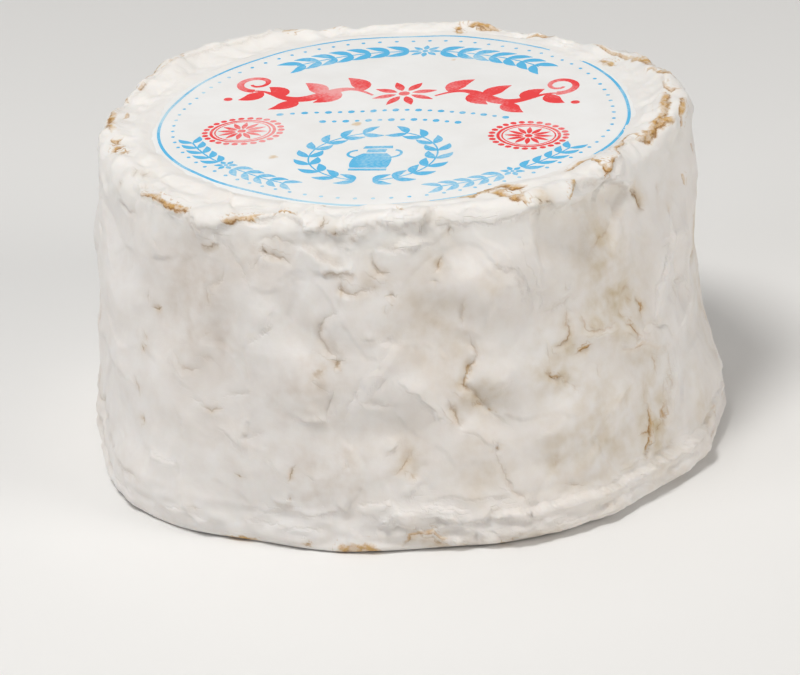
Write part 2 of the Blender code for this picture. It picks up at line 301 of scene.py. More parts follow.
# Forms of the front. Their places are read in the camera's own frame, in pixels, and cast from the
# camera on to the drum. A line's left side is up where it runs to the right.
front = {
    # split or folded grooves: line, half width, depth, stain
    "creases": [
        ([(318, 229), (322, 226), (323, 221)], 0.4, 0.5, 0.9),
        ([(327, 231), (335, 233), (342, 230)], 0.4, 0.4, 1.0),
        ([(135, 170), (136, 177)], 0.4, 0.4, 0.5), ([(144, 177), (148, 173)], 0.5, 0.4, 0.6),
        ([(120, 181), (121, 188)], 0.4, 0.4, 0.5), ([(146, 186), (147, 190)], 0.5, 0.3, 0.4),
        ([(120, 200), (126, 210), (132, 215)], 0.5, 0.4, 0.3),
        ([(217, 242), (226, 248), (234, 258), (241, 270), (247, 285)], 0.6, 0.25, 0.1),
        ([(264, 254), (272, 256), (280, 257), (290, 264)], 0.45, 0.35, 0.6),
        ([(264, 254), (258, 262), (253, 270)], 0.4, 0.25, 0.2),
        ([(262, 254), (266, 254)], 0.5, 0.5, 1.0),
        ([(257, 242), (266, 239), (276, 240), (284, 244), (294, 246)], 0.6, 0.2, 0.4),
        ([(154, 242), (157, 247)], 0.4, 0.25, 0.3), ([(149, 293), (149, 302)], 0.4, 0.25, 0.5),
        ([(154, 308), (160, 308)], 0.45, 0.3, 1.0), ([(145, 333), (146, 340)], 0.4, 0.3, 0.7),
        ([(143, 346), (144, 350)], 0.4, 0.3, 0.9),
        ([(204, 291), (206, 300), (204, 308)], 0.5, 0.25, 0.45),
        ([(205, 290), (212, 287), (218, 280), (221, 272)], 0.6, 0.2, 0.4),
        ([(177, 356), (182, 366), (190, 371), (197, 369)], 0.6, 0.25, 0.45),
        ([(200, 357), (208, 358), (214, 362)], 0.6, 0.2, 0.3),
        ([(204, 336), (207, 334)], 0.6, 0.1, 0.4),
        ([(252, 341), (258, 337), (266, 334)], 0.45, 0.3, 0.1),
        ([(266, 333), (271, 327)], 0.4, 0.25, 0.35),
        ([(136, 380), (139, 388), (141, 395)], 0.4, 0.4, 0.6),
        ([(144, 417), (144, 424)], 0.5, 0.5, 1.0),
        ([(193, 400), (197, 403), (202, 403)], 0.4, 0.2, 0.1),
        ([(204, 407), (212, 409), (220, 409)], 0.4, 0.35, 0.6),
        ([(228, 396), (240, 395), (248, 393)], 0.6, 0.25, 0.1),
        ([(243, 437), (255, 436), (262, 435)], 0.5, 0.12, 0.2),
        ([(240, 475), (242, 476)], 0.45, 0.4, 0.9), ([(197, 505), (200, 505)], 0.6, 0.3, 0.4),
        ([(290, 480), (293, 470)], 0.45, 0.3, 0.8), ([(290, 498), (292, 499)], 0.4, 0.4, 0.7),
        ([(310, 479), (312, 480)], 0.4, 0.3, 0.5), ([(346, 463), (346, 470)], 0.4, 0.2, 0.3),
        ([(372, 258), (374, 267), (378, 273), (386, 274)], 0.5, 0.45, 0.6),
        ([(340, 283), (342, 290), (347, 293), (355, 294), (366, 291)], 0.5, 0.4, 0.6),
        ([(342, 291), (345, 292)], 0.6, 0.4, 1.0), ([(389, 297), (393, 297)], 0.45, 0.5, 1.0),
        ([(386, 309), (386, 313)], 0.4, 0.3, 0.5), ([(370, 288), (374, 292)], 0.9, 0.15, 0.5),
        ([(434, 211), (433, 216), (428, 221), (421, 226)], 0.45, 0.45, 0.6),
        ([(448, 228), (449, 235)], 0.4, 0.4, 0.6),
        ([(441, 260), (438, 265), (435, 269)], 0.4, 0.35, 0.8),
        ([(434, 283), (436, 283)], 0.4, 0.3, 0.5),
        ([(332, 315), (325, 319), (320, 330), (321, 341), (328, 349), (336, 355)], 0.6, 0.4, 0.5),
        ([(316, 372), (320, 376)], 1.2, 0.1, 0.7), ([(334, 366), (340, 362)], 0.5, 0.4, 0.9),
        ([(385, 343), (395, 341)], 0.5, 0.2, 0.1),
        ([(463, 303), (464, 315), (463, 325)], 0.45, 0.25, 0.4),
        ([(471, 340), (476, 350), (475, 360)], 0.5, 0.4, 0.6),
        ([(475, 360), (470, 370), (466, 378)], 0.6, 0.6, 1.0),
        ([(466, 376), (464, 386), (470, 390)], 0.7, 0.5, 1.0),
        ([(470, 390), (478, 398), (486, 408)], 0.6, 0.5, 0.6),
        ([(475, 405), (487, 408), (495, 413)], 0.4, 0.3, 0.9),
        ([(450, 405), (455, 413), (461, 426)], 0.55, 0.55, 0.7),
        ([(365, 402), (378, 405), (395, 406)], 0.45, 0.3, 0.2),
        ([(362, 382), (355, 395), (343, 420)], 0.6, 0.3, 0.1),
        ([(385, 380), (377, 392)], 0.5, 0.25, 0.1),
        ([(332, 397), (328, 410), (325, 418)], 0.5, 0.35, 0.2),
        ([(316, 386), (325, 390)], 0.45, 0.2, 0.35),
        ([(409, 454), (406, 462), (401, 468), (398, 471)], 0.5, 0.25, 0.7),
        ([(412, 474), (414, 476)], 0.5, 0.2, 0.9), ([(495, 446), (497, 450)], 0.6, 0.5, 1.0),
        ([(496, 446), (497, 455), (500, 465), (505, 475), (508, 483), (515, 492),
          (527, 503)], 0.45, 0.35, 0.45),
        ([(485, 520), (492, 512), (500, 508)], 0.4, 0.35, 0.4),
        ([(498, 500), (503, 502)], 0.8, 0.3, 0.2),
        ([(548, 374), (551, 378), (556, 379), (561, 376)], 0.5, 0.45, 0.9),
        ([(566, 381), (571, 383)], 0.5, 0.35, 0.6), ([(574, 387), (576, 389)], 0.5, 0.3, 0.6),
        ([(598, 368), (600, 374)], 0.4, 0.3, 0.5), ([(556, 458), (558, 468)], 1.0, 0.1, 0.5),
        ([(648, 405), (650, 420), (651, 432), (651, 445), (648, 455)], 0.5, 0.55, 1.0),
        ([(642, 433), (650, 430)], 0.4, 0.3, 0.9),
        ([(663, 402), (664, 413), (666, 423)], 0.6, 0.45, 0.9),
        ([(658, 431), (663, 425)], 0.4, 0.3, 0.6),
        ([(664, 370), (662, 385), (660, 400)], 0.4, 0.25, 0.3),
        ([(664, 345), (668, 360), (669, 380), (668, 402)], 0.5, 0.35, 0.45),
        ([(645, 385), (644, 402)], 0.5, 0.25, 0.4), ([(711, 413), (715, 408)], 0.4, 0.3, 0.6),
        ([(667, 472), (675, 475), (681, 473)], 0.5, 0.4, 0.5),
        ([(646, 474), (648, 475)], 0.4, 0.3, 0.9), ([(570, 485), (577, 485)], 0.5, 0.3, 0.5),
        ([(614, 495), (622, 490), (626, 485)], 0.4, 0.3, 0.2),
        ([(586, 503), (600, 500), (612, 500)], 0.4, 0.3, 0.4),
        ([(510, 536), (512, 538)], 0.5, 0.4, 1.0), ([(500, 546), (505, 545)], 0.5, 0.2, 0.8),
        ([(306, 541), (306, 545)], 0.45, 0.2, 0.9),
        ([(404, 543), (409, 535), (414, 530), (420, 531), (433, 530)], 0.6, 0.3, 0.9),
        ([(425, 535), (437, 539), (450, 541), (466, 543)], 0.6, 0.35, 0.8),
        ([(536, 199), (541, 201), (548, 203)], 0.6, 0.5, 1.0),
        ([(538, 203), (539, 209), (534, 214)], 0.45, 0.25, 0.6),
        ([(630, 187), (634, 194), (639, 200), (642, 208)], 0.65, 0.8, 1.0),
        ([(657, 186), (659, 192)], 0.4, 0.3, 0.4), ([(668, 206), (671, 214)], 0.4, 0.3, 0.5),
        ([(579, 208), (588, 205), (595, 201)], 0.45, 0.25, 0.2),
        ([(500, 268), (510, 270), (519, 279), (526, 290), (529, 302), (527, 312)], 1.1, 0.45, 0.12),
        ([(553, 345), (560, 345), (566, 341), (570, 334), (567, 326), (567, 312)], 0.5, 0.45, 0.9),
        ([(567, 284), (568, 290)], 0.4, 0.25, 0.4),
        ([(575, 297), (566, 301), (555, 307), (545, 311)], 0.8, 0.35, 0.2),
        ([(579, 352), (585, 348), (590, 346)], 0.5, 0.4, 1.0),
        ([(545, 347), (548, 358)], 0.45, 0.3, 0.6),
        ([(583, 318), (587, 327), (595, 331), (604, 329), (613, 325)], 0.6, 0.35, 0.7),
        ([(637, 299), (641, 305), (641, 313)], 0.55, 0.4, 0.9),
        ([(630, 282), (624, 292)], 0.9, 0.2, 0.6), ([(627, 297), (631, 300)], 0.6, 0.2, 0.6),
        ([(621, 312), (623, 314)], 0.5, 0.2, 0.7), ([(629, 317), (631, 319)], 0.4, 0.2, 0.8),
        ([(629, 325), (633, 330), (638, 334)], 0.5, 0.5, 1.0),
        ([(642, 329), (648, 323), (655, 326), (662, 325), (668, 333)], 0.45, 0.35, 0.3),
        ([(651, 355), (654, 364), (656, 371)], 0.4, 0.3, 0.7),
        ([(595, 252), (603, 241), (613, 226)], 0.5, 0.2, 0.5),
        ([(692, 210), (696, 225), (693, 250), (689, 262)], 0.6, 0.45, 0.8),
        ([(523, 241), (524, 246)], 0.4, 0.25, 0.3),
    ],
    # raised folds: line, half width, height
    "ridges": [
        ([(403, 380), (412, 390), (425, 400), (437, 411), (446, 422)], 0.7, 0.5),
        ([(462, 427), (475, 430), (487, 440), (494, 448)], 0.7, 0.35),
        ([(487, 408), (500, 416), (508, 423)], 0.5, 0.3),
        ([(400, 345), (393, 360), (383, 372), (366, 386)], 1.8, 0.6),
        ([(300, 419), (312, 421), (322, 420), (326, 417)], 0.6, 0.55),
        ([(388, 453), (393, 447), (399, 442)], 0.5, 0.45),
        ([(399, 496), (410, 488), (421, 480)], 1.3, 0.75), ([(405, 242), (415, 241)], 0.7, 0.4),
        ([(633, 385), (624, 395), (615, 410), (607, 430), (597, 447), (575, 478)], 1.7, 0.6),
        ([(671, 222), (667, 245), (662, 270), (657, 296), (654, 318)], 1.0, 1.25),
        ([(686, 190), (684, 230), (683, 262), (687, 300)], 1.1, 0.8),
        ([(676, 345), (674, 372), (671, 400), (670, 426)], 1.1, 0.5),
        ([(700, 300), (704, 325), (711, 350), (714, 372)], 1.0, 0.6),
        ([(609, 482), (623, 479), (641, 469), (658, 460)], 0.4, 0.4),
        ([(401, 515), (420, 513), (434, 514), (457, 519), (468, 521), (484, 516), (512, 514),
          (540, 509)], 0.4, 0.4),
        ([(376, 531), (383, 521), (390, 514), (401, 511)], 0.4, 0.35),
        ([(412, 500), (440, 497), (476, 495), (510, 492)], 0.4, 0.2),
        ([(484, 542), (501, 534), (526, 523), (545, 518)], 0.4, 0.4),
        ([(466, 531), (482, 530), (501, 526), (529, 516)], 0.35, 0.35),
        ([(443, 537), (456, 540), (468, 539), (484, 534)], 0.4, 0.35),
        ([(357, 512), (384, 520), (407, 525), (434, 531)], 0.4, 0.3),
        ([(290, 511), (318, 514), (346, 511)], 0.4, 0.3),
        ([(560, 520), (585, 511), (606, 503), (630, 492)], 0.4, 0.35),
        ([(545, 503), (570, 497), (590, 490)], 0.35, 0.25),
        ([(652, 484), (668, 474), (684, 460)], 0.4, 0.35),
        ([(250, 506), (270, 510), (286, 508)], 0.4, 0.25),
        ([(300, 222), (312, 214), (326, 212)], 0.6, 0.45),
        ([(340, 226), (352, 218), (366, 214)], 0.6, 0.5),
        ([(384, 221), (396, 214), (410, 212)], 0.55, 0.45),
        ([(408, 226), (420, 219), (431, 213)], 0.6, 0.5),
        ([(450, 214), (470, 209), (488, 210)], 0.7, 0.4),
        ([(236, 212), (252, 209), (268, 209)], 0.6, 0.4),
        ([(160, 190), (176, 198), (192, 203)], 0.6, 0.4),
        ([(388, 247), (402, 249), (416, 247), (430, 243)], 0.5, 0.5),
        ([(345, 249), (352, 249)], 0.5, 0.3), ([(363, 338), (373, 340)], 0.7, 0.35),
        ([(590, 337), (610, 333), (635, 337), (660, 335)], 1.4, 0.5),
        ([(222, 425), (232, 436), (243, 446)], 0.9, 0.4),
        ([(255, 330), (265, 318), (272, 305)], 1.5, 0.4),
        ([(170, 352), (176, 370), (186, 385)], 1.2, 0.35),
        ([(108, 340), (120, 362), (134, 382)], 1.5, 0.4),
        ([(536, 262), (545, 272), (546, 288)], 1.4, 0.4),
        ([(482, 392), (497, 384), (516, 368)], 2.0, 0.7),
        ([(145, 440), (160, 456), (180, 462)], 1.8, 0.5),
        ([(560, 216), (590, 213), (635, 214)], 1.5, 0.4),
        ([(272, 462), (280, 470), (284, 478)], 0.6, 0.3),
        ([(565, 420), (552, 432), (540, 438)], 1.2, 0.3),
    ],
    # edges of sheets of rind that lie over what is on the line's right: line, reach, height, and
    # stain, which colours a line under the edge that is partly stain and partly painted shadow
    "ledges": [
        ([(185, 214), (190, 223), (195, 232), (199, 240)], 3.5, 0.6, 0.2),
        ([(199, 243), (204, 247), (210, 244), (218, 242)], 1.8, 0.4, 0.8),
        ([(351, 234), (356, 238), (359, 241)], 1.5, 0.4, 0.6),
        ([(343, 270), (330, 266), (318, 260), (306, 253), (296, 247)], 2.4, 0.5, 0.3),
        ([(318, 270), (335, 272), (345, 271), (356, 274)], 1.5, 0.5, 0.6),
        ([(412, 257), (397, 254), (385, 253), (374, 252)], 1.6, 0.4, 0.15),
        ([(273, 500), (281, 502), (291, 500)], 0.8, 0.45, 0.2),
        ([(620, 345), (633, 347), (645, 343), (655, 344), (662, 347), (665, 356)], 2.2, 0.6, 0.3),
    ],
    # rolls and small folds of the foot, on the line's left: line, onset, reach, height
    "rolls": [
        ([(714, 404), (706, 422), (694, 434), (680, 446), (664, 457), (650, 464), (634, 474),
          (618, 482), (600, 490), (580, 495), (560, 502), (540, 508), (518, 510), (498, 514),
          (480, 520)], 0.32, 6.5, 1.9),
        ([(473, 520), (462, 522), (450, 517), (435, 514), (415, 516), (395, 512), (385, 519),
          (378, 530)], 0.6, 2.4, 0.7),
        ([(668, 448), (652, 454), (636, 462), (622, 474)], 0.4, 1.2, 0.3),
        ([(620, 500), (600, 506), (570, 517), (543, 524), (520, 528)], 0.4, 1.6, 0.6),
        ([(512, 524), (500, 529), (487, 533), (478, 531)], 0.4, 1.4, 0.5),
        ([(562, 510), (542, 518), (522, 523), (505, 524)], 0.4, 1.4, 0.4),
        ([(650, 476), (630, 486), (612, 496), (596, 501)], 0.3, 1.3, 0.6),
        ([(690, 450), (674, 462), (660, 470)], 0.4, 1.3, 0.5),
        ([(640, 492), (618, 503), (598, 511), (585, 517)], 0.4, 1.2, 0.5),
        ([(500, 538), (470, 541), (450, 537)], 0.4, 1.2, 0.4),
        ([(720, 380), (716, 396), (708, 412)], 0.5, 1.6, 0.6),
        ([(712, 424), (702, 440), (690, 450)], 0.4, 1.3, 0.5),
        ([(466, 543), (450, 540), (437, 534), (420, 530), (412, 533), (404, 542)], 0.5, 1.6, 0.7),
        ([(392, 500), (380, 506), (356, 508)], 0.4, 1.4, 0.5),
        ([(470, 512), (440, 509), (420, 505)], 0.4, 1.2, 0.45),
        ([(330, 535), (300, 531), (270, 527), (240, 520)], 0.6, 1.8, 0.5),
        ([(214, 521), (190, 512), (166, 506)], 0.6, 1.8, 0.5),
        ([(180, 466), (166, 462), (150, 450)], 0.6, 2.6, 0.6),
        ([(530, 524), (505, 532), (480, 538)], 0.4, 1.2, 0.45),
        ([(690, 425), (678, 440), (664, 448)], 0.4, 1.2, 0.25),
        ([(576, 520), (560, 526), (545, 530)], 0.4, 1.2, 0.45),
        ([(140, 500), (122, 484), (110, 470)], 0.6, 1.8, 0.6),
    ],
    # where the top's white sheet, on the line's left, ends at the shoulder: line, drop, reach
    "edges": [
        ([(133, 176), (137, 188), (143, 195), (152, 199), (160, 204), (168, 209), (178, 212),
          (190, 214), (196, 221), (203, 227), (213, 227), (223, 223), (236, 220), (250, 218),
          (262, 215), (275, 215), (288, 214), (296, 218), (301, 224), (306, 229), (315, 230),
          (321, 227), (328, 231), (335, 233), (342, 231), (352, 228), (362, 226), (378, 223),
          (390, 226), (402, 225), (412, 223), (422, 222), (430, 218), (436, 210)], 0.95, 4.0),
        ([(436, 224), (450, 222), (470, 221), (495, 220), (515, 215), (530, 208),
          (540, 205)], 0.2, 4.0),
        ([(526, 209), (536, 206), (548, 205), (560, 206), (566, 202), (570, 194), (573, 186),
          (577, 180), (585, 178), (600, 179), (612, 178), (622, 183), (630, 190)], 1.5, 3.6),
        ([(598, 166), (606, 176), (611, 170), (616, 163), (618, 153), (624, 145), (632, 139),
          (641, 140), (650, 134), (655, 124), (661, 114), (666, 100), (668, 88)], 0.6, 3.5),
    ],
    # torn rind along such edges, ochre with a brown lower side that is partly stain and partly
    # painted shadow under the edge: line, half width, stain
    "tears": [
        ([(143, 195), (152, 196), (158, 200), (166, 205), (174, 207), (182, 211),
          (191, 213)], 0.42, 1.0),
        ([(222, 223), (232, 221), (240, 219), (252, 217), (257, 219)], 0.32, 0.9),
        ([(240, 218), (250, 216), (258, 214), (264, 213)], 0.28, 0.8),
        ([(270, 214), (280, 214), (290, 213), (297, 218)], 0.24, 0.9),
        ([(368, 208), (374, 206), (380, 207)], 0.3, 0.8), ([(322, 209), (328, 209)], 0.5, 0.5),
        ([(399, 212), (404, 214)], 0.3, 0.5),
        ([(453, 200), (463, 200), (470, 199), (478, 195), (486, 193), (495, 191), (503, 190),
          (512, 192), (520, 191), (525, 190)], 0.75, 1.0),
        ([(490, 196), (500, 196), (508, 197), (515, 198), (522, 195)], 0.8, 1.0),
        ([(523, 192), (524, 198), (527, 203)], 0.3, 0.8),
        ([(567, 199), (571, 193), (573, 186), (576, 182)], 0.36, 1.0),
        ([(567, 176), (573, 171), (580, 167), (588, 164), (596, 163), (600, 167)], 0.34, 0.9),
        ([(604, 166), (605, 174), (609, 171), (615, 163)], 0.34, 1.0),
        ([(615, 161), (616, 154), (621, 147), (628, 140), (636, 137), (642, 137)], 0.32, 0.8),
        ([(640, 141), (648, 140), (652, 134), (655, 127), (662, 122), (668, 119),
          (674, 118)], 0.7, 1.0),
        ([(644, 133), (652, 128)], 0.4, 0.8),
        ([(652, 128), (657, 119), (663, 113), (666, 103), (667, 95)], 0.62, 1.0),
        ([(682, 98), (683, 106), (682, 116)], 0.5, 1.0), ([(684, 120), (683, 126)], 0.3, 0.7),
        ([(690, 140), (690, 151)], 0.3, 0.8), ([(682, 176), (685, 184)], 0.4, 0.8),
        ([(600, 62), (606, 65), (614, 66)], 0.6, 1.0),
        ([(632, 60), (641, 62), (650, 65)], 0.5, 1.0),
        ([(646, 71), (653, 68), (660, 69)], 0.3, 0.6),
        ([(664, 67), (669, 70), (673, 77)], 0.5, 1.0),
        ([(664, 84), (666, 91), (672, 93), (680, 88)], 0.3, 0.7),
        ([(600, 42), (612, 47), (622, 54), (634, 59)], 0.4, 0.7),
        ([(109, 110), (112, 106), (118, 108)], 0.3, 0.6),
        ([(110, 112), (110, 122), (112, 132)], 0.6, 1.0), ([(112, 122), (117, 126)], 0.3, 0.7),
        ([(113, 140), (116, 144), (120, 139)], 0.4, 0.9),
        ([(112, 152), (117, 148), (122, 147)], 0.5, 1.0),
        ([(122, 156), (125, 152), (128, 154)], 0.4, 1.0),
        ([(124, 116), (128, 113), (130, 111)], 0.3, 0.8), ([(123, 98), (127, 97)], 0.3, 0.7),
        ([(134, 86), (140, 80)], 0.4, 0.6), ([(148, 76), (154, 73)], 0.4, 0.5),
        ([(470, 22), (482, 21), (496, 23)], 0.7, 1.0), ([(455, 26), (462, 27)], 0.6, 1.0),
        ([(456, 34), (463, 35)], 0.5, 0.9), ([(476, 30), (484, 25), (500, 27)], 0.4, 0.7),
        ([(524, 37), (534, 32), (546, 30), (556, 33)], 0.4, 0.8),
        ([(649, 410), (651, 420), (652, 432), (651, 445), (649, 453)], 0.25, 0.7),
        ([(662, 409), (664, 417)], 0.35, 0.5), ([(580, 352), (585, 348), (591, 346)], 0.26, 0.8),
        ([(551, 378), (560, 377)], 0.3, 0.8), ([(634, 346), (642, 344)], 0.5, 0.35),
        ([(470, 366), (467, 375), (465, 380)], 0.22, 0.5), ([(640, 303), (641, 310)], 0.25, 0.6),
        ([(223, 536), (235, 538), (247, 541), (259, 541)], 0.4, 1.0),
        ([(336, 551), (350, 549), (366, 549), (384, 551)], 0.7, 1.0),
        ([(406, 541), (411, 533), (420, 530), (432, 531), (446, 536)], 0.3, 0.6),
        ([(305, 543), (309, 545)], 0.4, 1.0), ([(500, 546), (508, 544)], 0.5, 1.0),
        ([(356, 552), (372, 552)], 0.5, 1.0),
    ],
    # soft swells and hollows: place, half width, half height, turn in degrees, height
    "swells": [
        ((684, 96), 9.0, 4.0, 0, 1.0), ((640, 62), 7.0, 4.0, 0, 0.6), ((604, 44), 5.0, 3.0, 0, 0.7),
        ((98, 330), 7.0, 12.0, 0, -0.6), ((165, 500), 12.0, 4.5, 0, 0.8),
        ((140, 440), 7.0, 3.0, -20, -0.4), ((490, 294), 6.0, 6.0, 0, 0.9),
        ((501, 309), 2.2, 2.2, 0, -0.35), ((320, 240), 3.8, 2.0, 0, -1.0),
        ((289, 318), 1.8, 6.5, -8, -0.55), ((410, 235), 3.6, 1.6, 0, -0.7),
        ((460, 283), 5.0, 2.6, 10, 0.4), ((444, 310), 4.0, 4.0, 0, -0.45),
        ((594, 207), 7.5, 3.4, 8, -0.8), ((484, 401), 3.2, 2.6, 0, -0.5),
        ((412, 450), 3.4, 3.4, 0, -0.4), ((562, 390), 5.0, 3.0, 0, -0.5),
        ((586, 446), 5.5, 1.6, 38, -0.55), ((545, 464), 5.0, 2.6, 0, -0.45),
        ((222, 343), 2.2, 5.0, 0, -0.4), ((190, 290), 7.0, 11.0, 0, -0.45),
        ((150, 450), 6.0, 5.0, -20, 0.4), ((205, 425), 9.0, 6.0, 0, -0.4),
        ((370, 435), 9.0, 5.0, 0, -0.45), ((430, 368), 4.5, 5.5, 0, -0.4),
        ((325, 405), 2.4, 3.2, 0, -0.6), ((610, 262), 6.0, 8.0, 0, -0.4),
        ((430, 330), 9.0, 4.0, 0, -0.3), ((345, 330), 5.0, 6.0, 0, 0.3),
        ((610, 448), 2.0, 4.0, -20, -0.4), ((540, 330), 5.0, 4.0, 0, 0.3),
        ((460, 470), 8.0, 5.0, 0, 0.35), ((677, 270), 1.6, 9.0, 0, -0.9),
        ((652, 270), 2.2, 8.0, 0, -0.6),
    ],
    # soft tan stains: place, half width, half height, strength
    "stains": [
        ((600, 430), 9.0, 9.0, 0.65), ((430, 320), 11.0, 9.0, 0.35), ((250, 260), 7.0, 6.0, 0.3),
        ((190, 300), 8.0, 12.0, 0.42), ((222, 345), 3.0, 6.0, 0.4), ((270, 250), 5.0, 3.0, 0.5),
        ((322, 360), 4.5, 6.0, 0.7), ((300, 400), 7.0, 7.0, 0.4), ((372, 285), 4.0, 3.5, 0.5),
        ((316, 374), 1.6, 1.6, 1.0), ((478, 392), 4.5, 5.5, 0.7), ((465, 345), 3.0, 3.0, 0.5),
        ((610, 265), 6.5, 8.5, 0.7), ((618, 305), 6.5, 5.5, 1.0), ((600, 322), 5.0, 2.5, 0.8),
        ((560, 365), 5.5, 6.0, 0.75), ((560, 440), 6.0, 7.0, 0.4), ((557, 463), 2.2, 3.5, 0.7),
        ((652, 420), 4.5, 8.0, 0.9), ((640, 350), 4.0, 3.0, 0.6), ((340, 470), 9.0, 6.0, 0.5),
        ((408, 458), 3.0, 3.5, 0.7), ((312, 495), 1.8, 2.2, 0.8), ((482, 470), 5.0, 7.0, 0.4),
        ((430, 540), 7.0, 1.6, 0.9), ((245, 445), 8.0, 6.0, 0.25), ((540, 532), 5.0, 1.2, 0.6),
        ((692, 240), 2.0, 9.0, 0.6), ((700, 400), 3.0, 6.0, 0.4), ((492, 285), 2.5, 2.5, 0.35),
    ],
}

# The hidden sides, in the same order. A place is (bearing, level) on the side, and in the tears
# and the edge (bearing, radius) on top.
hidden = {
    "swells": [
        ((-100, 14), 14, 9, 0, -0.5), ((150, 22), 8, 6, 0, -0.6), ((-140, 30), 7, 9, 0, -0.6),
        ((112, 34), 4, 9, 0, -0.6),
    ],
    "ledges": [
        ([(80, 6.6), (92, 7.4), (104, 7.0), (118, 6.0), (131, 6.8), (146, 5.4)], 4.5, 0.6, 0.1),
        ([(-150, 5.0), (-134, 6.4), (-119, 5.4)], 4.0, 0.5, 0.1),
        ([(-100, 4.4), (-90, 3.4), (-80, 4.2)], 3.0, 0.4, 0.1),
        ([(-170, 44), (-160, 41), (-150, 42.5)], 3.0, 0.6, 0.4),
        ([(112, 47), (120, 44.5), (130, 45.5)], 3.0, 0.6, 0.4),
        ([(160, 24), (170, 21), (178, 22.5)], 2.5, 0.5, 0.3),
        ([(-120, 20), (-112, 18), (-104, 19)], 2.5, 0.5, 0.3),
    ],
    "tears": [
        ([(-135, 51.0), (-127, 50.2), (-119, 49.4)], 0.4, 0.8),
        ([(124, 49.6), (131, 50.0), (140, 49.2)], 0.4, 0.9),
        ([(-172, 48.0), (-164, 49.0), (-158, 48.4)], 0.5, 0.9),
        ([(98, 49.6), (106, 49.0), (112, 48.6)], 0.4, 0.9),
    ],
    "stains": [
        ((86, 20), 9, 10, 0.4), ((-120, 34), 10, 12, 0.6), ((-158, 22), 11, 9, 0.6),
        ((158, 38), 9, 10, 0.7), ((126, 24), 8, 12, 0.6), ((-88, 24), 7, 9, 0.3),
        ((176, 12), 9, 7, 0.4), ((104, 42), 6, 9, 0.5), ((130, 1), 8, 1.4, 0.9),
        ((-110, 1), 7, 1.2, 0.8), ((175, 1), 9, 1.2, 0.9), ((-150, 46), 9, 5, 0.4),
    ],
    "edge": {"bearings": range(84, 276, 4), "radius": 49.4, "wander": (18.0, 1.3), "drop": 0.7,
             "reach": 4.5},
}
# small forms spread by seeded draws, past the bearing where the front's own forms end
looseCreases = {"seed": 12, "count": 120, "past": 66, "length": (1.5, 6.0), "halfWidth": 0.5,
                "depth": (0.2, 0.45)}
looseRidges = {"seed": 5, "count": 60, "past": 60, "length": (5.0, 14.0), "halfWidth": (0.7, 1.6),
               "height": (0.25, 0.55)}
footWrinkles = {"seed": 21, "count": 90, "past": 48, "length": (3.0, 10.0), "halfWidth": 0.45,
                "depth": (0.15, 0.4), "level": (1.2, 8.0), "tilt": 14}

cheeseGuide = smoothGuide("cheese", 2)


def seen(x, y):
    # the drum's skin where the camera sees it at this place of its frame, or else a little inward
    width, height = camera["frame"]
    focal = camera["lens"] / camera["sensor"] * width
    view = scene.camera.matrix_world
    hit = None
    while not hit:
        way = view.to_3x3() @ Vector(((x - width / 2) / focal, (height / 2 - y) / focal, -1))
        hit = cheeseGuide.ray_cast(view.translation, way.normalized())[0]
        x, y = x + (410 - x) * 0.004, y + (290 - y) * 0.004    # to the drum's middle in the frame
    return np.array(hit) / mm


def onSide(bearing, level):
    outward = Vector((*polar(bearing, 1), 0))
    inside = outward * 0.1 + Vector((0, 0, level * mm))
    return np.array(cheeseGuide.ray_cast(inside, -outward)[0]) / mm


def onTop(bearing, radius):
    above = Vector((*polar(bearing, radius), overTop)) * mm
    return np.array(cheeseGuide.ray_cast(above, Vector((0, 0, -1)))[0]) / mm


def rindSection():
    # half section of the blank, from the middle of the top to the middle of the base
    top, foot, spine = rind["spineTop"], rind["spineFoot"], rind["spineRadius"]
    tube, start, turnRows = rind["tube"], rind["rimStart"], rind["shoulderRows"]
    section = [(radius, top + tube) for radius in rind["topRadii"]]
    rimRows = round((spine - start) / rind["rimRow"])
    section += [(start + (spine - start) * i / rimRows, top + tube) for i in range(rimRows)]
    for i in range(turnRows):
        angle = math.pi / 2 * (1 - i / turnRows)
        section.append((spine + tube * math.cos(angle), top + tube * math.sin(angle)))
    sideRows = round((top - foot) / rind["sideRow"])
    section += [(spine + tube, top + (foot - top) * i / sideRows) for i in range(sideRows)]
    for degrees in rind["footDegrees"]:
        angle = math.radians(-degrees)
        section.append((spine + tube * math.cos(angle), foot + tube * math.sin(angle)))
    section.append((0, 0))
    return section


def castToSolid(bm, guide):
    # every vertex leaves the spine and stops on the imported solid
    for vertex in bm.verts:
        radius = math.hypot(vertex.co.x, vertex.co.y)
        if radius < 0.1 * mm:       # the middle of the top or of the base
            vertex.co.z = (rind["middleLevel"] if vertex.co.z > 20 * mm else 0) * mm
            continue
        angle = math.atan2(vertex.co.x, -vertex.co.y)
        angle -= rind["frontCrowding"] * math.sin(angle)
        outward = Vector((math.sin(angle), -math.cos(angle), 0))
        spineRadius = min(radius, rind["spineRadius"] * mm)
        spineLevel = min(max(vertex.co.z, rind["spineFoot"] * mm), rind["spineTop"] * mm)
        start = outward * spineRadius + Vector((0, 0, spineLevel))
        way = outward * (radius - spineRadius) + Vector((0, 0, vertex.co.z - spineLevel))
        vertex.co = guide.ray_cast(start, way.normalized())[0]


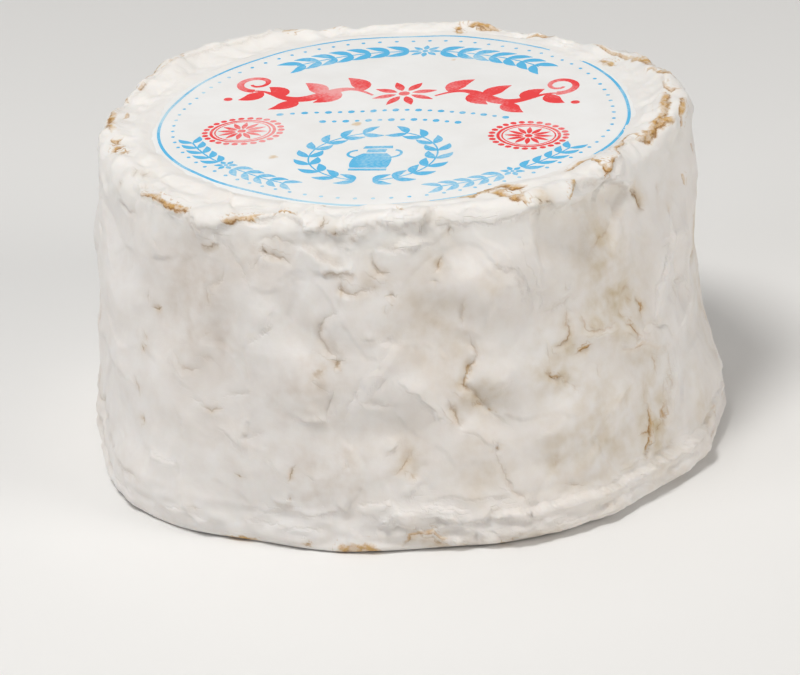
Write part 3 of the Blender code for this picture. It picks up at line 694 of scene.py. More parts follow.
class Skin:
    # The rind's vertices in mm, and what is drawn on them. A drawn line is kept as the distance
    # across it, in half widths and positive on its right, with the depth and stain that it has
    # there (along ridges, rolls, ledges, sheet edges and under torn edges the stain is partly
    # painted shade), so that it stays crisp between the vertices.
    def __init__(self, points, normals):
        self.points, self.normals = points, normals
        self.level = points[:, 2]
        self.bearing = np.degrees(np.arctan2(points[:, 0], -points[:, 1]))
        self.fromAxis = np.hypot(points[:, 0], points[:, 1])
        self.relief, self.tan = np.zeros((2, len(points)))
        self.creaseAcross, self.tearAcross = np.full((2, len(points)), 4.0)
        self.creaseDepth, self.creaseStain, self.tearStainAndShadow = np.zeros((3, len(points)))
        # places are read with a wobble, so that drawn lines come out ragged
        self.read = points.copy()
        for size, far in rind["wobble"]:
            self.read += far * noisesAt(points, size, (3, 4, 5))

    def near(self, corners, reach):
        low, high = np.min(corners, axis=0) - reach, np.max(corners, axis=0) + reach
        return np.flatnonzero(((self.read > low) & (self.read < high)).all(axis=1))

    def stroke(self, corners, reach):
        # vertices near a drawn line: which, distance, left of it or not, share of its length
        near = self.near(corners, reach)
        places, best = self.read[near], np.full(len(near), 1e6)
        left, share = np.zeros(len(near), bool), np.zeros(len(near))
        for i, (start, end) in enumerate(zip(corners, corners[1:])):
            run = end - start
            t = np.clip((places - start) @ run / (run @ run), 0, 1)
            off = places - start - t[:, None] * run
            distance = np.linalg.norm(off, axis=1)
            nearer = distance < best
            best = np.where(nearer, distance, best)
            onLeft = (np.cross(run, off) * self.normals[near]).sum(axis=1) > 0
            left = np.where(nearer, onLeft, left)
            share = np.where(nearer, (i + t) / (len(corners) - 1), share)
        # how far a place lies past the line's ends, so that nothing is drawn on beyond them
        first, last = corners[1] - corners[0], corners[-1] - corners[-2]
        before = (corners[0] - places) @ first / np.linalg.norm(first)
        after = (places - corners[-1]) @ last / np.linalg.norm(last)
        self.past = np.where(share <= 0, before, np.where(share >= 1, after, 0)).clip(0)
        return near, best, left, share

    def markTan(self, near, strength):
        self.tan[near] = np.maximum(self.tan[near], strength)

    def keepCrease(self, near, across, depth, stain):
        closer = np.abs(across) < np.abs(self.creaseAcross[near])
        picked, across = near[closer], across[closer]
        fade = smoothStep(3.8, 2.2, np.abs(across))
        self.creaseAcross[picked] = across
        self.creaseDepth[picked] = depth[closer] * fade
        self.creaseStain[picked] = stain[closer] * fade

    def crease(self, corners, halfWidth, depth, stain):
        # a groove with a low lip on both sides
        near, distance, left, share = self.stroke(corners, 4)
        taper = np.sqrt(np.clip(np.sin(math.pi * (0.08 + 0.84 * share)), 0, 1))
        taper = taper * smoothStep(1.6, 0.3, self.past)
        groove = np.exp(-(distance / halfWidth) ** 2) * taper
        lip = np.exp(-((distance - 2.4 * halfWidth) / halfWidth / 1.6) ** 2) * taper
        self.relief[near] += 0.75 * depth * (0.3 * lip - groove)
        across = np.where(left, -distance, distance) / halfWidth
        self.keepCrease(near, across, depth * taper, stain * taper)
        self.markTan(near, 0.4 * stain * np.exp(-(distance / 2.4) ** 2) * taper)

    def ridge(self, corners, halfWidth, height):
        # a narrow crest, gentler on its left, with a fine line along its right: a groove with a
        # faint painted shade in it
        near, distance, left, share = self.stroke(corners, halfWidth * 6)
        taper = np.clip(np.sin(math.pi * (0.06 + 0.88 * share)), 0, 1) ** 0.7
        width = halfWidth * np.where(left, 1.7, 0.9)
        crest = np.exp(-np.sqrt((distance / width) ** 2 + 0.04) + 0.2)
        self.relief[near] += 1.3 * height * taper * crest
        right = np.where(left, -distance, distance)
        self.keepCrease(near, (right - 0.5 * halfWidth - 0.2) / 0.5,
                        0.5 * height / max(halfWidth, 0.5) * taper, 0.05 * taper)

    def ledge(self, corners, reach, height, stain):
        # a sheet that swells to its edge, and a groove and a tan line just past it; the line is
        # partly a stain and partly painted shadow under the sheet's edge
        near, distance, left, share = self.stroke(corners, reach * 3)
        taper = smoothStep(0, 0.12, share) * smoothStep(1, 0.88, share)
        sheet = np.exp(-np.where(left, distance / reach, (distance / 0.6) ** 2))
        right = np.where(left, -distance, distance)
        groove = np.exp(-((right - 0.7) / 0.7) ** 2)
        self.relief[near] += height * taper * (sheet - 0.25 * groove)
        # painted shadow, with some stain: a darker line in the groove under the sheet's edge
        self.keepCrease(near, (right - 0.45) / 0.5, 0.3 * height * taper, stain * taper)
        self.markTan(near, 0.3 * np.exp(-((right - 0.8) / 0.9) ** 2) * taper)

    def roll(self, corners, onset, reach, height):
        # a rounded roll that begins steeply at its right edge
        near, distance, left, share = self.stroke(corners, reach * 3)
        taper = smoothStep(0, 0.15, share) * smoothStep(1, 0.85, share)
        swell = np.exp(-np.where(left, (distance / reach) ** 1.5, (distance / onset) ** 2))
        right = np.where(left, -distance, distance)
        groove = np.exp(-((right - 2.0) / 1.5) ** 2)
        self.relief[near] += height * taper * (swell - 0.2 * groove)
        # painted shade: a faint darker line in the groove just past the roll's steep edge
        depth = np.minimum(0.5 * height, 0.3) * taper
        self.keepCrease(near, (right - 0.5) / 0.45, depth, 0.1 * taper)

    def edge(self, corners, drop, reach):
        near, distance, left, share = self.stroke(corners, reach * 5)
        taper = smoothStep(0, 0.06, share) * smoothStep(1, 0.94, share)
        # the side draws back under the sheet, most at the reach, after a small step at the edge
        back = np.where(left, 0, distance / reach * np.exp(1 - distance / reach))
        step = np.where(left, 0, np.exp(-distance / 2) * smoothStep(0, 0.6, distance))
        lip = np.where(left, np.exp(-distance / 2.2), np.exp(-(distance / 0.4) ** 2))
        self.relief[near] += drop * (0.4 * lip - 0.25 * step - 0.8 * back) * taper
        right = np.where(left, -distance, distance)
        # painted shade: a faint darker line just past the edge, under the sheet
        self.keepCrease(near, (right - 0.5) / 0.5, 0.35 * taper, 0.3 * taper)

    def tear(self, corners, halfWidth, stain):
        # a shallow scar, narrower at its ends
        near, distance, left, share = self.stroke(corners, 5)
        taper = np.clip(np.sin(math.pi * (0.05 + 0.9 * share)) * 2.2, 0, 1)
        taper = taper * smoothStep(1.2, 0.2, self.past)
        right = np.where(left, -distance, distance)
        self.relief[near] -= 0.15 * np.exp(-((right - 0.3) / 0.6) ** 2) * taper
        across = right / (0.85 * halfWidth * (0.3 + 0.7 * taper))
        closer = np.abs(across) < np.abs(self.tearAcross[near])
        picked, across = near[closer], across[closer]
        self.tearAcross[picked] = across
        self.tearStainAndShadow[picked] = (stain * taper)[closer] * smoothStep(3.8, 2.2, np.abs(across))

    def round(self, centre, halfWidth, halfHeight):
        # vertices round a place: which, and how far they lie along the side and up from it
        near = self.near([centre], max(halfWidth, halfHeight) * 2.5)
        middle = math.degrees(math.atan2(centre[0], -centre[1]))
        across = turnBetween(self.bearing[near], middle) * sideArc
        return near, across, self.read[near, 2] - centre[2]

    def swell(self, centre, halfWidth, halfHeight, turn, height):
        near, across, up = self.round(centre, halfWidth, halfHeight)
        a = math.radians(turn)
        u, v = across * math.cos(a) + up * math.sin(a), up * math.cos(a) - across * math.sin(a)
        self.relief[near] += height * np.exp(-(u / halfWidth) ** 2 - (v / halfHeight) ** 2)

    def stain(self, centre, halfWidth, halfHeight, strength, cloud):
        near, across, up = self.round(centre, halfWidth, halfHeight)
        blot = np.exp(-(across / halfWidth) ** 2 - (up / halfHeight) ** 2)
        self.markTan(near, strength * blot * cloud[near])


def drawRelief(skin):
    points = skin.points
    for i, (size, depth) in enumerate(rind["lumps"]):
        skin.relief += depth * noiseAt(points, size, 11 + i)
    bend = 3.5 * noisesAt(points, 10, (21, 22, 23))
    patch = smoothStep(-0.5, 0.5, noiseAt(points, 16, 31))
    stretch = np.array([1, 1, 1.4])     # the folds stand taller than they are wide
    for i, (size, depth) in enumerate(rind["crumple"]):
        fold = noiseAt((points + bend) / stretch, size, 33 + i)
        # ridges in some places, and softer valleys in others
        sharp = np.sqrt(fold ** 2 + 0.0016) * np.where(noiseAt(points, 20, 37 + i) > 0, 1, -0.5)
        skin.relief += depth * (0.22 - sharp) * (0.4 + 0.6 * patch)
    # the rim is crumpled most at the left and at the back, and less in front
    crest = smoothStep(49, 53, skin.level) * smoothStep(41.5, 45.0, skin.fromAxis)
    crest *= 0.5 + 0.5 * smoothStep(38, 62, np.abs(skin.bearing - 4))
    for i, (size, depth) in enumerate(rind["rimCrumple"]):
        fold = np.clip(1 - np.abs(noiseAt(points + bend * 0.7, size, 43 + i)) * 1.8, 0, 1)
        skin.relief += crest * depth * (fold - 0.45)
    size, depth = rind["footCrumple"]
    foot = smoothStep(9, 5, skin.level) * smoothStep(0, 1.2, skin.level)
    skin.relief += foot * depth * noiseAt(points * np.array([1, 1, 2.2]), size, 61)
    print("  soft relief drawn")


def drawForms(skin):
    cloud = 0.7 + 0.7 * noiseAt(skin.points, 3.2, 71) + 0.4 * noiseAt(skin.points, 1.2, 73)
    cloud = np.clip(cloud, 0, 1.3)
    pens = {"creases": skin.crease, "ridges": skin.ridge, "ledges": skin.ledge,
            "rolls": skin.roll, "edges": skin.edge, "tears": skin.tear}
    for kind, pen in pens.items():
        for line, *sizes in front[kind]:
            pen([seen(*place) for place in line], *sizes)
    for place, *sizes in front["swells"]:
        skin.swell(seen(*place), *sizes)
    for place, *sizes in hidden["swells"]:
        skin.swell(onSide(*place), *sizes)
    for place, *sizes in front["stains"]:
        skin.stain(seen(*place), *sizes, cloud)
    for line, *sizes in hidden["ledges"]:
        skin.ledge([onSide(*place) for place in line], *sizes)
    for line, *sizes in hidden["tears"]:
        skin.tear([onTop(*place) for place in line], *sizes)
    edge = hidden["edge"]
    size, far = edge["wander"]
    spots = np.array([(*polar(bearing, edge["radius"]), 0) for bearing in edge["bearings"]])
    radii = edge["radius"] + far * noiseAt(spots, size, 91)
    radii += 0.5 * far * noiseAt(spots, size / 3, 92)
    line = [onTop(*place) for place in zip(edge["bearings"], radii)]
    skin.edge(line[::-1], edge["drop"], edge["reach"])
    for place, *sizes in hidden["stains"]:
        skin.stain(onSide(*place), *sizes, cloud)
    drawLooseForms(skin)
    # painted shade: the hollows of the relief below the top get more of the darker tan colour, so
    # that they read as shaded
    hollowShade = smoothStep(0.0, -0.7, skin.relief) * smoothStep(54, 52, skin.level)
    skin.tan = np.clip(skin.tan + 0.15 * hollowShade, 0, 1)
    print("  creases, folds, broken edges and stains drawn")


def looseLine(draw, length):
    # a short bowed line of three places anywhere on the side, in any direction
    heading, length = draw.uniform(0, math.pi), draw.uniform(*length)
    bearing, level = draw.uniform(-180, 180), draw.uniform(4, 50)
    bow = draw.uniform(-0.2, 0.2) * length
    across, up = math.cos(heading) * length / sideArc / 2, math.sin(heading) * length / 2
    line = [(bearing - across, level - up), (bearing + bow / sideArc, level + bow),
            (bearing + across, level + up)]
    return [(b, min(max(z, 2), 52)) for b, z in line]


def drawLooseForms(skin):
    # every draw is made, also where its form is left out
    draw = random.Random(looseCreases["seed"])
    for i in range(looseCreases["count"]):
        line = looseLine(draw, looseCreases["length"])
        depth, stain = draw.uniform(*looseCreases["depth"]), draw.random() ** 2 * 0.8
        if abs(line[1][0]) > looseCreases["past"]:
            places = [onSide(*place) for place in line]
            skin.crease(places, looseCreases["halfWidth"], depth, stain)
    draw = random.Random(looseRidges["seed"])
    for i in range(looseRidges["count"]):
        line = looseLine(draw, looseRidges["length"])
        halfWidth, height = [draw.uniform(*looseRidges[name]) for name in ("halfWidth", "height")]
        if abs(line[1][0]) > looseRidges["past"]:
            skin.ridge([onSide(*place) for place in line], halfWidth, height)
    draw = random.Random(footWrinkles["seed"])
    for i in range(footWrinkles["count"]):
        bearing, level = draw.uniform(-180, 180), draw.uniform(*footWrinkles["level"])
        length = draw.uniform(*footWrinkles["length"])
        rise = length / 2 * math.sin(math.radians(draw.uniform(-1, 1) * footWrinkles["tilt"]))
        bow, half = draw.uniform(-0.1, 0.1) * length, length / 2 / sideArc
        line = [(bearing - half, level - rise), (bearing, level + bow),
                (bearing + half, level + rise)]
        depth, stain = draw.uniform(*footWrinkles["depth"]), draw.random() ** 3 * 0.7
        if abs(bearing) > footWrinkles["past"]:
            places = [onSide(b, max(z, 0.8)) for b, z in line]
            skin.crease(places, footWrinkles["halfWidth"], depth, stain)


def layOnPaper(points):
    # Round the paper the rind starts just under it and creeps over its edge. This gives each
    # vertex its level, the share of the relief that it takes, and the lowest level it may have.
    x, y = points[:, 0] - paper["centre"][0], points[:, 1] - paper["centre"][1]
    fromCentre = np.hypot(x, y)
    nearTop = np.flatnonzero((points[:, 2] > 48) & (fromCentre < rind["nearPaper"]))
    away = fromCentre[nearTop]
    spots = np.stack([x[nearTop], y[nearTop], np.zeros(len(nearTop))], axis=1)
    spots *= 42 / np.maximum(away, 1)[:, None]      # all on one ring
    edge = rind["paperEdge"] + 0.55 * noiseAt(spots, 9, 81) + 0.3 * noiseAt(spots, 2.4, 83)
    bearing = np.degrees(np.arctan2(x[nearTop], -y[nearTop]))
    for place, halfWidth, inward in rind["creeping"]:
        edge -= inward * np.exp(-(turnBetween(bearing, place) / halfWidth) ** 2)
    sheet = paperLevel(points[nearTop, 0], points[nearTop, 1])
    creep = sheet + np.clip((away - edge) * 0.2, -1.0, 0.5)
    share = smoothStep(*rind["paperToRim"], away)
    level = points[:, 2].copy()
    level[nearTop] = creep * (1 - share) + level[nearTop] * share
    reliefShare, lowest = np.ones(len(points)), np.zeros(len(points))
    reliefShare[nearTop] = smoothStep(-0.2, 2.6, away - edge)
    # no fold goes so deep that the paper's edge shows
    lowest[nearTop] = np.where((away > edge) & (away < 43), sheet + 0.08, 0)
    return level, reliefShare, lowest


bloom = {
    # patterns: size, detail, roughness
    "noises": {"patches": (22, 3, 0.5), "mottling": (4.5, 6, 0.6), "grain": (0.9, 5, 0.65),
               "crumbs": (1.4, 3, 0.6)},
    "white": "#EFECE9", "cream": "#EAE5E0", "mottled": "#DFD6CE", "top": "#EFEDE9",
    "tanLeft": "#CCBDAE", "tanRight": "#CBB998",
    "creaseEdge": "#CFB48B", "creaseLeft": "#A68A62", "creaseRight": "#B5874C",
    "creaseTop": "#8F6C42",
    # tornLower: the brown line under a torn edge, partly stain and partly painted shadow
    "tornPale": "#DCC295", "torn": "#C79C5C", "tornLower": "#96692F",
}


def makeRindMaterial():
    # white mould bloom over the rind of a soft cheese: dry, smooth and a little downy, so it
    # scatters light evenly and glows softly at thin edges; tan where thin, ochre where torn, and
    # with painted shade in the hollows of the relief and along the grooves of its folds
    finish, tree, shader = newFinish("white mould bloom on soft rind", {
        "Roughness": 0.68, "Specular IOR Level": 0.3, "Sheen Weight": 0.08, "Sheen Roughness": 0.6,
        "Subsurface Weight": 0.2, "Subsurface Radius": (1.0, 0.8, 0.6),
        "Subsurface Scale": 1.2 * mm})
    place = addNode(tree, "TexCoord").outputs["Object"]
    axes = addNode(tree, "SeparateXYZ", {"Vector": place}).outputs
    drawn = {name: addNode(tree, "Attribute", attribute_name=name).outputs["Fac"]
             for name in drawnValues}
    noises = {}
    for name, (size, detail, roughness) in bloom["noises"].items():
        noises[name] = addNode(tree, "TexNoise", {
            "Vector": place, "Scale": 1 / (size * mm), "Detail": detail,
            "Roughness": roughness}).outputs["Fac"]
    shares = {}
    for name, source, low, high, least, most in (
            ("patches", noises["patches"], 0.35, 0.65, 0, 1),
            ("mottled", noises["mottling"], 0.4, 0.75, 0, 0.35),
            ("patchy", noises["mottling"], 0.35, 0.6, 0.45, 1.1),
            ("ragged", noises["grain"], 0.3, 0.7, -0.5, 0.5),
            ("broken", noises["crumbs"], 0.4, 0.56, 0.5, 1),
            ("tan", drawn["tan"], 0, 1.1, 0, 1),
            # the top is the whitest, and the stains are yellower at the right than at the left
            ("top", axes["Z"], 47 * mm, 53 * mm, 0, 0.55),
            ("rim", axes["Z"], 44 * mm, 52 * mm, 0, 1),
            ("right", axes["X"], -20 * mm, 30 * mm, 0, 1)):
        shares[name] = addNode(tree, "MapRange", {
            "Value": source, "From Min": low, "From Max": high, "To Min": least,
            "To Max": most}).outputs["Result"]
    shades = {name: linear(colour) for name, colour in bloom.items() if name != "noises"}
    for name, share, one, other in (
            ("bloom", "patches", "white", "cream"), ("tan", "right", "tanLeft", "tanRight"),
            ("creaseSide", "right", "creaseLeft", "creaseRight"),
            ("crease", "rim", "creaseSide", "creaseTop"), ("ochre", "patchy", "tornPale", "torn")):
        shades[name] = addNode(tree, "Mix", {
            "Factor": shares[share], "A": shades[one], "B": shades[other]},
            data_type="RGBA").outputs["Result"]
    # the lines are made ragged by the grain
    crease, tear = [addNode(tree, "Math", {0: drawn[name], 1: shares["ragged"]},
                            operation="ADD").outputs["Value"]
                    for name in ("creaseAcross", "tearAcross")]
    lower = addNode(tree, "Math", {0: tear, 1: 0.8}, operation="SUBTRACT").outputs["Value"]

    def within(across, outer, inner, most=1.0):
        # how much of a drawn line there is between these distances from its middle
        away = addNode(tree, "Math", {0: across}, operation="ABSOLUTE").outputs["Value"]
        return addNode(tree, "MapRange", {
            "Value": away, "From Min": outer, "From Max": inner, "To Max": most},
            interpolation_type="SMOOTHSTEP").outputs["Result"]

    # coats of colour on the bloom, each as strong as the product of its shares
    last = shades["bloom"]
    stainedAndShaded = [drawn["creaseStain"], drawn["creaseStain"], shares["patchy"]]
    torn = [drawn["tearStainAndShadow"], shares["broken"]]
    for colour, factors in (
            ("mottled", [shares["mottled"]]),
            ("top", [shares["top"]]),
            # tan stains, and painted shade in the hollows of the relief
            ("tan", [shares["tan"], shares["patchy"]]),
            # creases: greyish tan low on the side, a warmer brown round the top; these are stains
            # in the creases, and painted shade along the grooves beside ridges, rolls, ledges and
            # sheet edges
            ("creaseEdge", stainedAndShaded + [within(crease, 2.8, 0.2, 0.5)]),
            ("crease", stainedAndShaded + [within(crease, 0.62, 0.1, 0.85)]),
            # torn rind: ochre, with a brown line along its lower side, partly brown stain and
            # partly painted shadow under the torn edge
            ("ochre", torn + [within(tear, 2.2, 0.5)]),
            ("tornLower", torn + [within(lower, 0.7, 0.1, 0.9), shares["patchy"]])):
        share = factors[0]
        for factor in factors[1:]:
            share = addNode(tree, "Math", {0: share, 1: factor},
                            operation="MULTIPLY").outputs["Value"]
        last = addNode(tree, "Mix", {"Factor": share, "A": last, "B": shades[colour]},
                       data_type="RGBA").outputs["Result"]
    tree.links.new(last, shader.inputs["Base Color"])
    cut = addNode(tree, "Math", {0: drawn["creaseDepth"], 1: within(crease, 0.9, 0.0)},
                  operation="MULTIPLY").outputs["Value"]
    wrinkles = addNode(tree, "TexNoise", {
        "Vector": place, "Scale": 1 / (5 * mm), "Detail": 3, "Distortion": 0.6},
        noise_type="RIDGED_MULTIFRACTAL", normalize=True).outputs["Fac"]
    # bumps, the later on the earlier: cuts, faint wrinkles of the dried bloom, softness and down
    below = {}
    for height, strength, depth in ((cut, 0.8, 0.3), (wrinkles, 0.5, 0.3),
                                    (noises["mottling"], 0.25, 0.4), (noises["grain"], 0.2, 0.1)):
        bump = addNode(tree, "Bump", {
            "Height": height, "Strength": strength, "Distance": depth * mm, **below},
            invert=height == cut)
        below = {"Normal": bump.outputs["Normal"]}
    tree.links.new(below["Normal"], shader.inputs["Normal"])
    return finish


def makeRind():
    bm = turned(rindSection(), rind["columns"])
    castToSolid(bm, cheeseGuide)
    piece = pieceFrom(bm, "rind", makeRindMaterial())
    mesh = piece.data
    count = len(mesh.vertices)
    flat = np.empty(count * 3)
    mesh.vertices.foreach_get("co", flat)
    points = flat.reshape(-1, 3) / mm
    mesh.vertex_normals.foreach_get("vector", flat)
    normals = flat.reshape(-1, 3)
    print("  blank cast to the solid,", count, "vertices")
    skin = Skin(points.copy(), normals)
    drawRelief(skin)
    drawForms(skin)
    points[:, 2], reliefShare, lowest = layOnPaper(points)
    # at the foot the relief goes straight outwards, so that its hollows don't pinch
    outwards = points * [1, 1, 0] / np.maximum(skin.fromAxis, 1)[:, None]
    normals += (outwards - normals) * (0.8 * smoothStep(13, 8, skin.level))[:, None]
    # and it fades out just above the base, which stays flat
    points += normals * (skin.relief * smoothStep(0.05, 1.5, skin.level) * reliefShare)[:, None]
    points[:, 2] = np.maximum(points[:, 2], lowest)
    inset = rind["footInset"]
    inward = np.exp(-(turnBetween(skin.bearing, inset["bearing"]) / inset["halfWidth"]) ** 2)
    inward *= inset["depth"] * smoothStep(inset["top"], 2, skin.level)
    points[:, :2] *= (1 - inward / np.maximum(skin.fromAxis, 20))[:, None]
    mesh.vertices.foreach_set("co", (points * mm).ravel())
    for name in drawnValues:
        values = np.clip(getattr(skin, name), -4, 4).astype(np.float32)
        mesh.attributes.new(name, "FLOAT", "POINT").data.foreach_set("value", values)
    mesh.update()
    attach(piece, "root")
    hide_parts("cheese")
    print("rind made,", sum(len(face.vertices) - 2 for face in mesh.polygons), "triangles")


makeRind()


# paper disc

def makePaperMaterial():
    # uncoated white label paper, damp from the cheese: matt, faintly cockled, hardly any gloss
    finish, tree, shader = newFinish("uncoated white label paper", {
        "Roughness": 0.7, "Specular IOR Level": 0.3})
    place = addNode(tree, "TexCoord").outputs["Object"]
    damp, fibre, ragged = [addNode(tree, "TexNoise", {
        "Vector": place, "Scale": 1 / (size * mm), "Detail": detail,
        "Roughness": roughness}).outputs["Fac"]
        for size, detail, roughness in ((9, 4, 0.5), (0.5, 4, 0.6), (1.2, 3, 0.5))]
    share = addNode(tree, "MapRange", {"Value": damp, "From Min": 0.35, "From Max": 0.7})
    last = addNode(tree, "Mix", {
        "Factor": share.outputs["Result"], "A": linear(paper["white"]), "B": linear(paper["damp"])},
        data_type="RGBA").outputs["Result"]
    for x, y, radius in paper["specks"]:
        middle = (x * mm, y * mm, paperLevel([x], [y])[0] * mm)
        far = addNode(tree, "VectorMath", {0: place, 1: middle}, operation="DISTANCE")
        edge = addNode(tree, "Math", {0: ragged, 1: 2 * radius * mm}, operation="MULTIPLY")
        inside = addNode(tree, "Math", {0: edge.outputs["Value"], 1: far.outputs["Value"]},
                         operation="SUBTRACT")
        speck = addNode(tree, "MapRange", {
            "Value": inside.outputs["Value"], "From Min": 0, "From Max": 0.6 * mm, "To Max": 0.75})
        last = addNode(tree, "Mix", {
            "Factor": speck.outputs["Result"], "A": last, "B": linear(paper["speck"])},
            data_type="RGBA").outputs["Result"]
    tree.links.new(last, shader.inputs["Base Color"])
    bump = addNode(tree, "Bump", {"Height": fibre, "Strength": 0.2, "Distance": 0.06 * mm})
    cockle = addNode(tree, "Bump", {"Height": damp, "Strength": 0.3, "Distance": 0.6 * mm,
                                    "Normal": bump.outputs["Normal"]})
    tree.links.new(cockle.outputs["Normal"], shader.inputs["Normal"])
    return finish


def makePaper():
    thick, rings = paper["thickness"], paper["rings"]
    radii = [paper["radius"] * i / rings for i in range(rings + 1)]
    section = [(radius, thick) for radius in radii]
    section += [(radius, 0) for radius in reversed(radii[::5])]
    bm = turned(section, paper["spokes"])
    bmesh.ops.translate(bm, verts=bm.verts, vec=Vector((*paper["centre"], 0)) * mm)
    level = paperLevel([v.co.x / mm for v in bm.verts], [v.co.y / mm for v in bm.verts])
    for vertex, height in zip(bm.verts, level):
        vertex.co.z += (height - thick) * mm
    piece = pieceFrom(bm, "paper", makePaperMaterial())
    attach(piece, "root")
    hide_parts("label")
    print("paper made")


makePaper()


# print: a generic farmhouse ornament of leaves and scrolls, in two inks

ornament = {
    "turn": -11,                 # degrees, how the disc was laid down
    "warp": (17.0, 0.75),        # size and reach of the damp paper's distortion
    "lift": 0.03, "depth": 0.05,
    # ink: material, full colour, worn colour, how worn
    "blue": ("worn sky blue printing ink", "#5FBAE6", "#C4E0EC", 0.85),
    "red": ("worn poppy red printing ink", "#EE4A4C", "#F3B4B4", 0.8),
    "ring": (40.5, 0.55), "beads": (37.9, 0.34, 84),
    "garland": {"radius": 35.0, "leaf": (3.4, 1.25), "step": 4.6,
                "sections": [(114, 158), (202, 246)]},
    "backSprig": {"radius": 32.5, "half": 42, "leaf": (4.6, 1.7), "step": 5.8},
    "wreath": {"centre": (0, -19.0), "radius": 11.0, "leaf": (3.8, 1.5), "step": 19},
    # a milk churn in parts: from, to, half breadths between; and its handles
    "churn": [(-6.4, -5.6, (3.3, 3.3)), (-5.1, 1.4, (3.2, 3.5, 3.5, 3.4, 3.0, 2.0)),
              (1.9, 3.2, (1.6, 1.6)), (3.6, 4.6, (2.5, 2.3))],
    "handle": {"out": 2.9, "up": 1.2, "radius": 1.6},
    "dottedRows": [(2.2, 20), (-2.4, 12)],      # level, half length
    "band": {"level": 9.5, "half": 30.5, "rise": 2.6, "stroke": 2.6, "leaf": (7.2, 3.3),
             "curl": 3.6},
    # where the band's leaves stand on it, and their heading
    "bandLeaves": [(0.1, 62), (0.3, -58), (0.42, 58), (0.62, -52), (0.74, 60), (0.93, -48)],
    "rosettes": [(-24.5, -8.5), (24.5, -8.5)], "rosetteRadius": 6.8, "rosetteDots": 26,
}


class Print:
    # flat strokes, leaves and dots of one ink, laid on the paper's waves at the end
    def __init__(self):
        self.bm = bmesh.new()
        self.layer = 0

    def ribbon(self, path, width, steps):
        # path gives a place and width a breadth for a share of the length
        grid = bmesh.ops.create_grid(self.bm, x_segments=steps, y_segments=1, size=0.5)["verts"]
        self.layer = (self.layer + 1) % 5     # strokes that cross lie a hair apart
        for vertex in grid:
            share, side = vertex.co.x + 0.5, 1 if vertex.co.y > 0 else -1
            (u0, v0), (u1, v1) = path(share - 0.005), path(share + 0.005)
            u, v = path(share)
            reach = width(share) / 2 / max(math.hypot(u1 - u0, v1 - v0), 1e-6) * side
            vertex.co = (u - (v1 - v0) * reach, v + (u1 - u0) * reach, self.layer * 0.003)

    def arc(self, centre, radius, start, end, width, steps):
        def path(share):
            u, v = polar(180 - start - (end - start) * share, radius)
            return centre[0] + u, centre[1] + v
        self.ribbon(path, lambda share: width, steps)

    def leaf(self, base, heading, length, width, bow=0.12):
        a = math.radians(heading)

        def path(share):
            along, off = share * length, bow * length * math.sin(math.pi * share)
            return (base[0] + along * math.cos(a) - off * math.sin(a),
                    base[1] + along * math.sin(a) + off * math.cos(a))
        self.ribbon(path, lambda share: 0.08 + width * max(math.sin(math.pi * share ** 0.85), 0), 8)

    def dot(self, place, radius, sides=12):
        made = bmesh.ops.create_circle(self.bm, cap_ends=True, segments=sides,
                                       radius=radius)["verts"]
        bmesh.ops.translate(self.bm, verts=made, vec=(*place, 0.016))

    def flower(self, place, petals, reach, turn=0.0):
        for i in range(petals):
            heading = turn + 360 * i / petals
            a = math.radians(heading)
            base = (place[0] + 0.25 * reach * math.cos(a), place[1] + 0.25 * reach * math.sin(a))
            self.leaf(base, heading, reach * 0.75, reach * 1.7 / petals + 0.25, 0)
        self.dot(place, reach * 0.17)

    def sprig(self, centre, radius, start, end, leaf, step):
        # a thin stem on an arc with pairs of leaves that point along it
        self.arc(centre, radius, start, end, 0.3, max(6, round(abs(end - start) / 3)))
        way = 1 if end > start else -1
        for i in range(int(abs(end - start) / step) + 1):
            bearing = start + way * step * i
            u, v = polar(180 - bearing, radius)
            along = -bearing if way > 0 else 180 - bearing
            for side in (-1, 1):
                self.leaf((centre[0] + u, centre[1] + v), along + side * 34, *leaf, 0.12 * side)

    def finish(self, name, material):
        bm = self.bm
        bmesh.ops.remove_doubles(bm, verts=bm.verts, dist=0.002)
        turn = math.radians(ornament["turn"])
        bmesh.ops.rotate(bm, verts=bm.verts, cent=(0, 0, 0), matrix=Matrix.Rotation(turn, 3, "Z"))
        bmesh.ops.translate(bm, verts=bm.verts, vec=(*paper["centre"], 0))
        size, far = ornament["warp"]
        flat = np.array([(v.co.x, v.co.y, 0) for v in bm.verts])
        for vertex, (u, v) in zip(bm.verts, noisesAt(flat, size, (61, 62))):
            vertex.co.x += far * u
            vertex.co.y += far * v
        made = bmesh.ops.extrude_face_region(bm, geom=bm.faces[:])["geom"]
        upper = [item for item in made if isinstance(item, bmesh.types.BMVert)]
        bmesh.ops.translate(bm, verts=upper, vec=(0, 0, ornament["depth"]))
        level = paperLevel([v.co.x for v in bm.verts], [v.co.y for v in bm.verts])
        for vertex, height in zip(bm.verts, level):
            vertex.co.z += height + ornament["lift"] - ornament["depth"]
        bmesh.ops.scale(bm, verts=bm.verts, vec=(mm, mm, mm))
        bmesh.ops.recalc_face_normals(bm, faces=bm.faces)
        piece = pieceFrom(bm, name, material)
        piece.data.shade_flat()
        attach(piece, "root")
        print(name, "made,", len(piece.data.polygons), "faces")


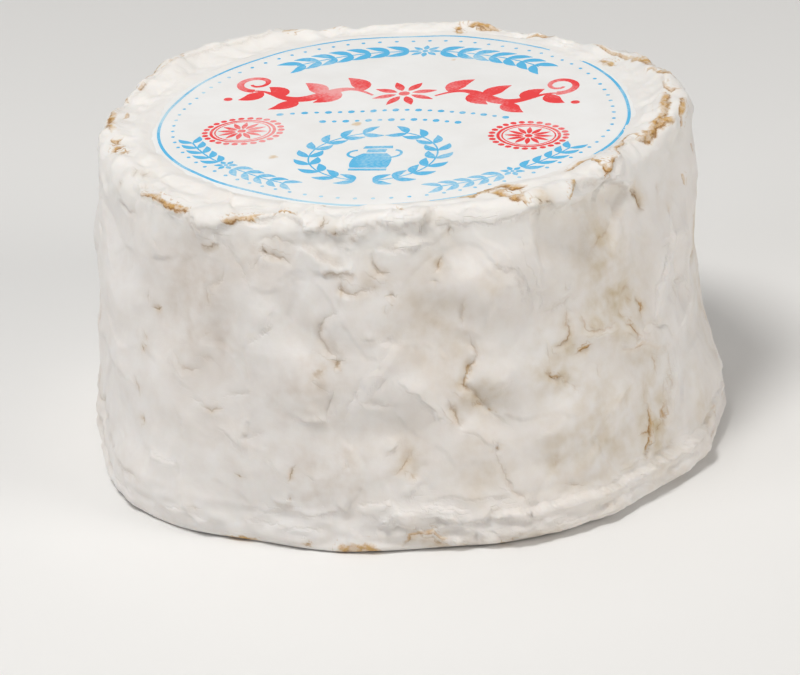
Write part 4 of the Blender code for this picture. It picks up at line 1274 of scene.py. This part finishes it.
def makeInk(name, colour, thinColour, worn):
    # offset ink soaked into damp paper: flat, without gloss, rubbed thin in patches
    finish, tree, shader = newFinish(name, {"Roughness": 0.75, "Specular IOR Level": 0.2})
    place = addNode(tree, "TexCoord").outputs["Object"]
    patch, grain = [addNode(tree, "TexNoise", {
        "Vector": place, "Scale": 1 / (size * mm), "Detail": detail}).outputs["Fac"]
        for size, detail in ((14, 2), (0.5, 3))]
    mixed = addNode(tree, "Math", {0: grain, 1: 0.35, 2: patch}, operation="MULTIPLY_ADD")
    thin = addNode(tree, "MapRange", {
        "Value": mixed.outputs["Value"], "From Min": 0.64, "From Max": 0.84, "To Max": worn})
    ink = addNode(tree, "Mix", {
        "Factor": thin.outputs["Result"], "A": linear(colour), "B": linear(thinColour)},
        data_type="RGBA")
    tree.links.new(ink.outputs["Result"], shader.inputs["Base Color"])
    return finish


def printBlue():
    ink = Print()
    radius, width = ornament["ring"]
    ink.arc((0, 0), radius, 0, 360, width, 180)
    radius, size, count = ornament["beads"]
    for i in range(count):
        ink.dot(polar(360 * i / count, radius), size, 8)
    garland = ornament["garland"]
    for start, end in garland["sections"]:
        middle = (start + end) / 2
        for way, far in ((-1, start), (1, end)):
            ink.sprig((0, 0), garland["radius"], middle + way * 3.5, far, garland["leaf"],
                      garland["step"])
        ink.flower(polar(180 - middle, garland["radius"]), 6, 2.0)
    sprig, wreath = ornament["backSprig"], ornament["wreath"]
    for way in (-1, 1):
        ink.sprig((0, 0), sprig["radius"], way * 5, way * sprig["half"], sprig["leaf"],
                  sprig["step"])
    ink.flower((0, sprig["radius"]), 8, 3.0)
    for way in (-1, 1):
        ink.sprig(wreath["centre"], wreath["radius"], 180 + way * 8, 180 + way * 160,
                  wreath["leaf"], wreath["step"])
    u, v = wreath["centre"]
    for start, end, outline in ornament["churn"]:
        levels = [i / (len(outline) - 1) for i in range(len(outline))]
        ink.ribbon(lambda share: (u, v + start + (end - start) * share),
                   lambda share: 2 * np.interp(share, levels, outline), 12)
    handle = ornament["handle"]
    for way in (-1, 1):
        ink.arc((u + way * handle["out"], v + handle["up"]), handle["radius"], way * 10, way * 185,
                0.5, 12)
    for row, half in ornament["dottedRows"]:
        for i in range(-half, half + 1, 2):
            ink.dot((i, row - 0.006 * i * i), 0.42 if i % 4 else 0.62, 8)
    ink.finish("print_blue", makeInk(*ornament["blue"]))


def printRed():
    ink = Print()
    band = ornament["band"]
    level, half, curl = band["level"], band["half"], band["curl"]
    length, breadth = band["leaf"]
    for way in (-1, 1):
        def vine(share):
            wave = band["rise"] * math.sin(share * 2.5 * math.pi)
            return way * (5.5 + (half - 9) * share), level + wave + 2.0 * (1 - share) * share

        def scroll(share):      # from the vine's end, round and inwards
            angle = math.radians(-90 + 420 * share)
            far = curl * (1 - 0.72 * share)
            return end[0] + way * far * math.cos(angle), end[1] + curl + far * math.sin(angle)
        end = vine(1)
        ink.ribbon(vine, lambda share: 0.5 + 0.8 * band["stroke"] * math.sin(math.pi * share) ** 2,
                   40)
        ink.ribbon(scroll, lambda share: 1.5 - 0.9 * share, 34)
        for share, turn in ornament["bandLeaves"]:
            heading = turn if way > 0 else 180 - turn
            ink.leaf(vine(share), heading, length * (1.05 - 0.3 * share), breadth,
                     0.14 * way * (1 if turn > 0 else -1))
        ink.dot((way * (half + 0.6), level - 1.5), 0.8)
    ink.flower((0, level + 0.6), 8, 5.8, 22.5)
    radius, dots = ornament["rosetteRadius"], ornament["rosetteDots"]
    for place in ornament["rosettes"]:
        ink.arc(place, radius * 0.77, 0, 360, 0.5, 40)
        ink.arc(place, radius * 0.67, 0, 360, 0.25, 40)
        ink.flower(place, 12, radius * 0.6)
        for i in range(dots):
            u, v = polar(360 * i / dots, radius * 0.93)
            ink.dot((place[0] + u, place[1] + v), 0.56, 8)
    ink.finish("print_red", makeInk(*ornament["red"]))


printBlue()
printRed()
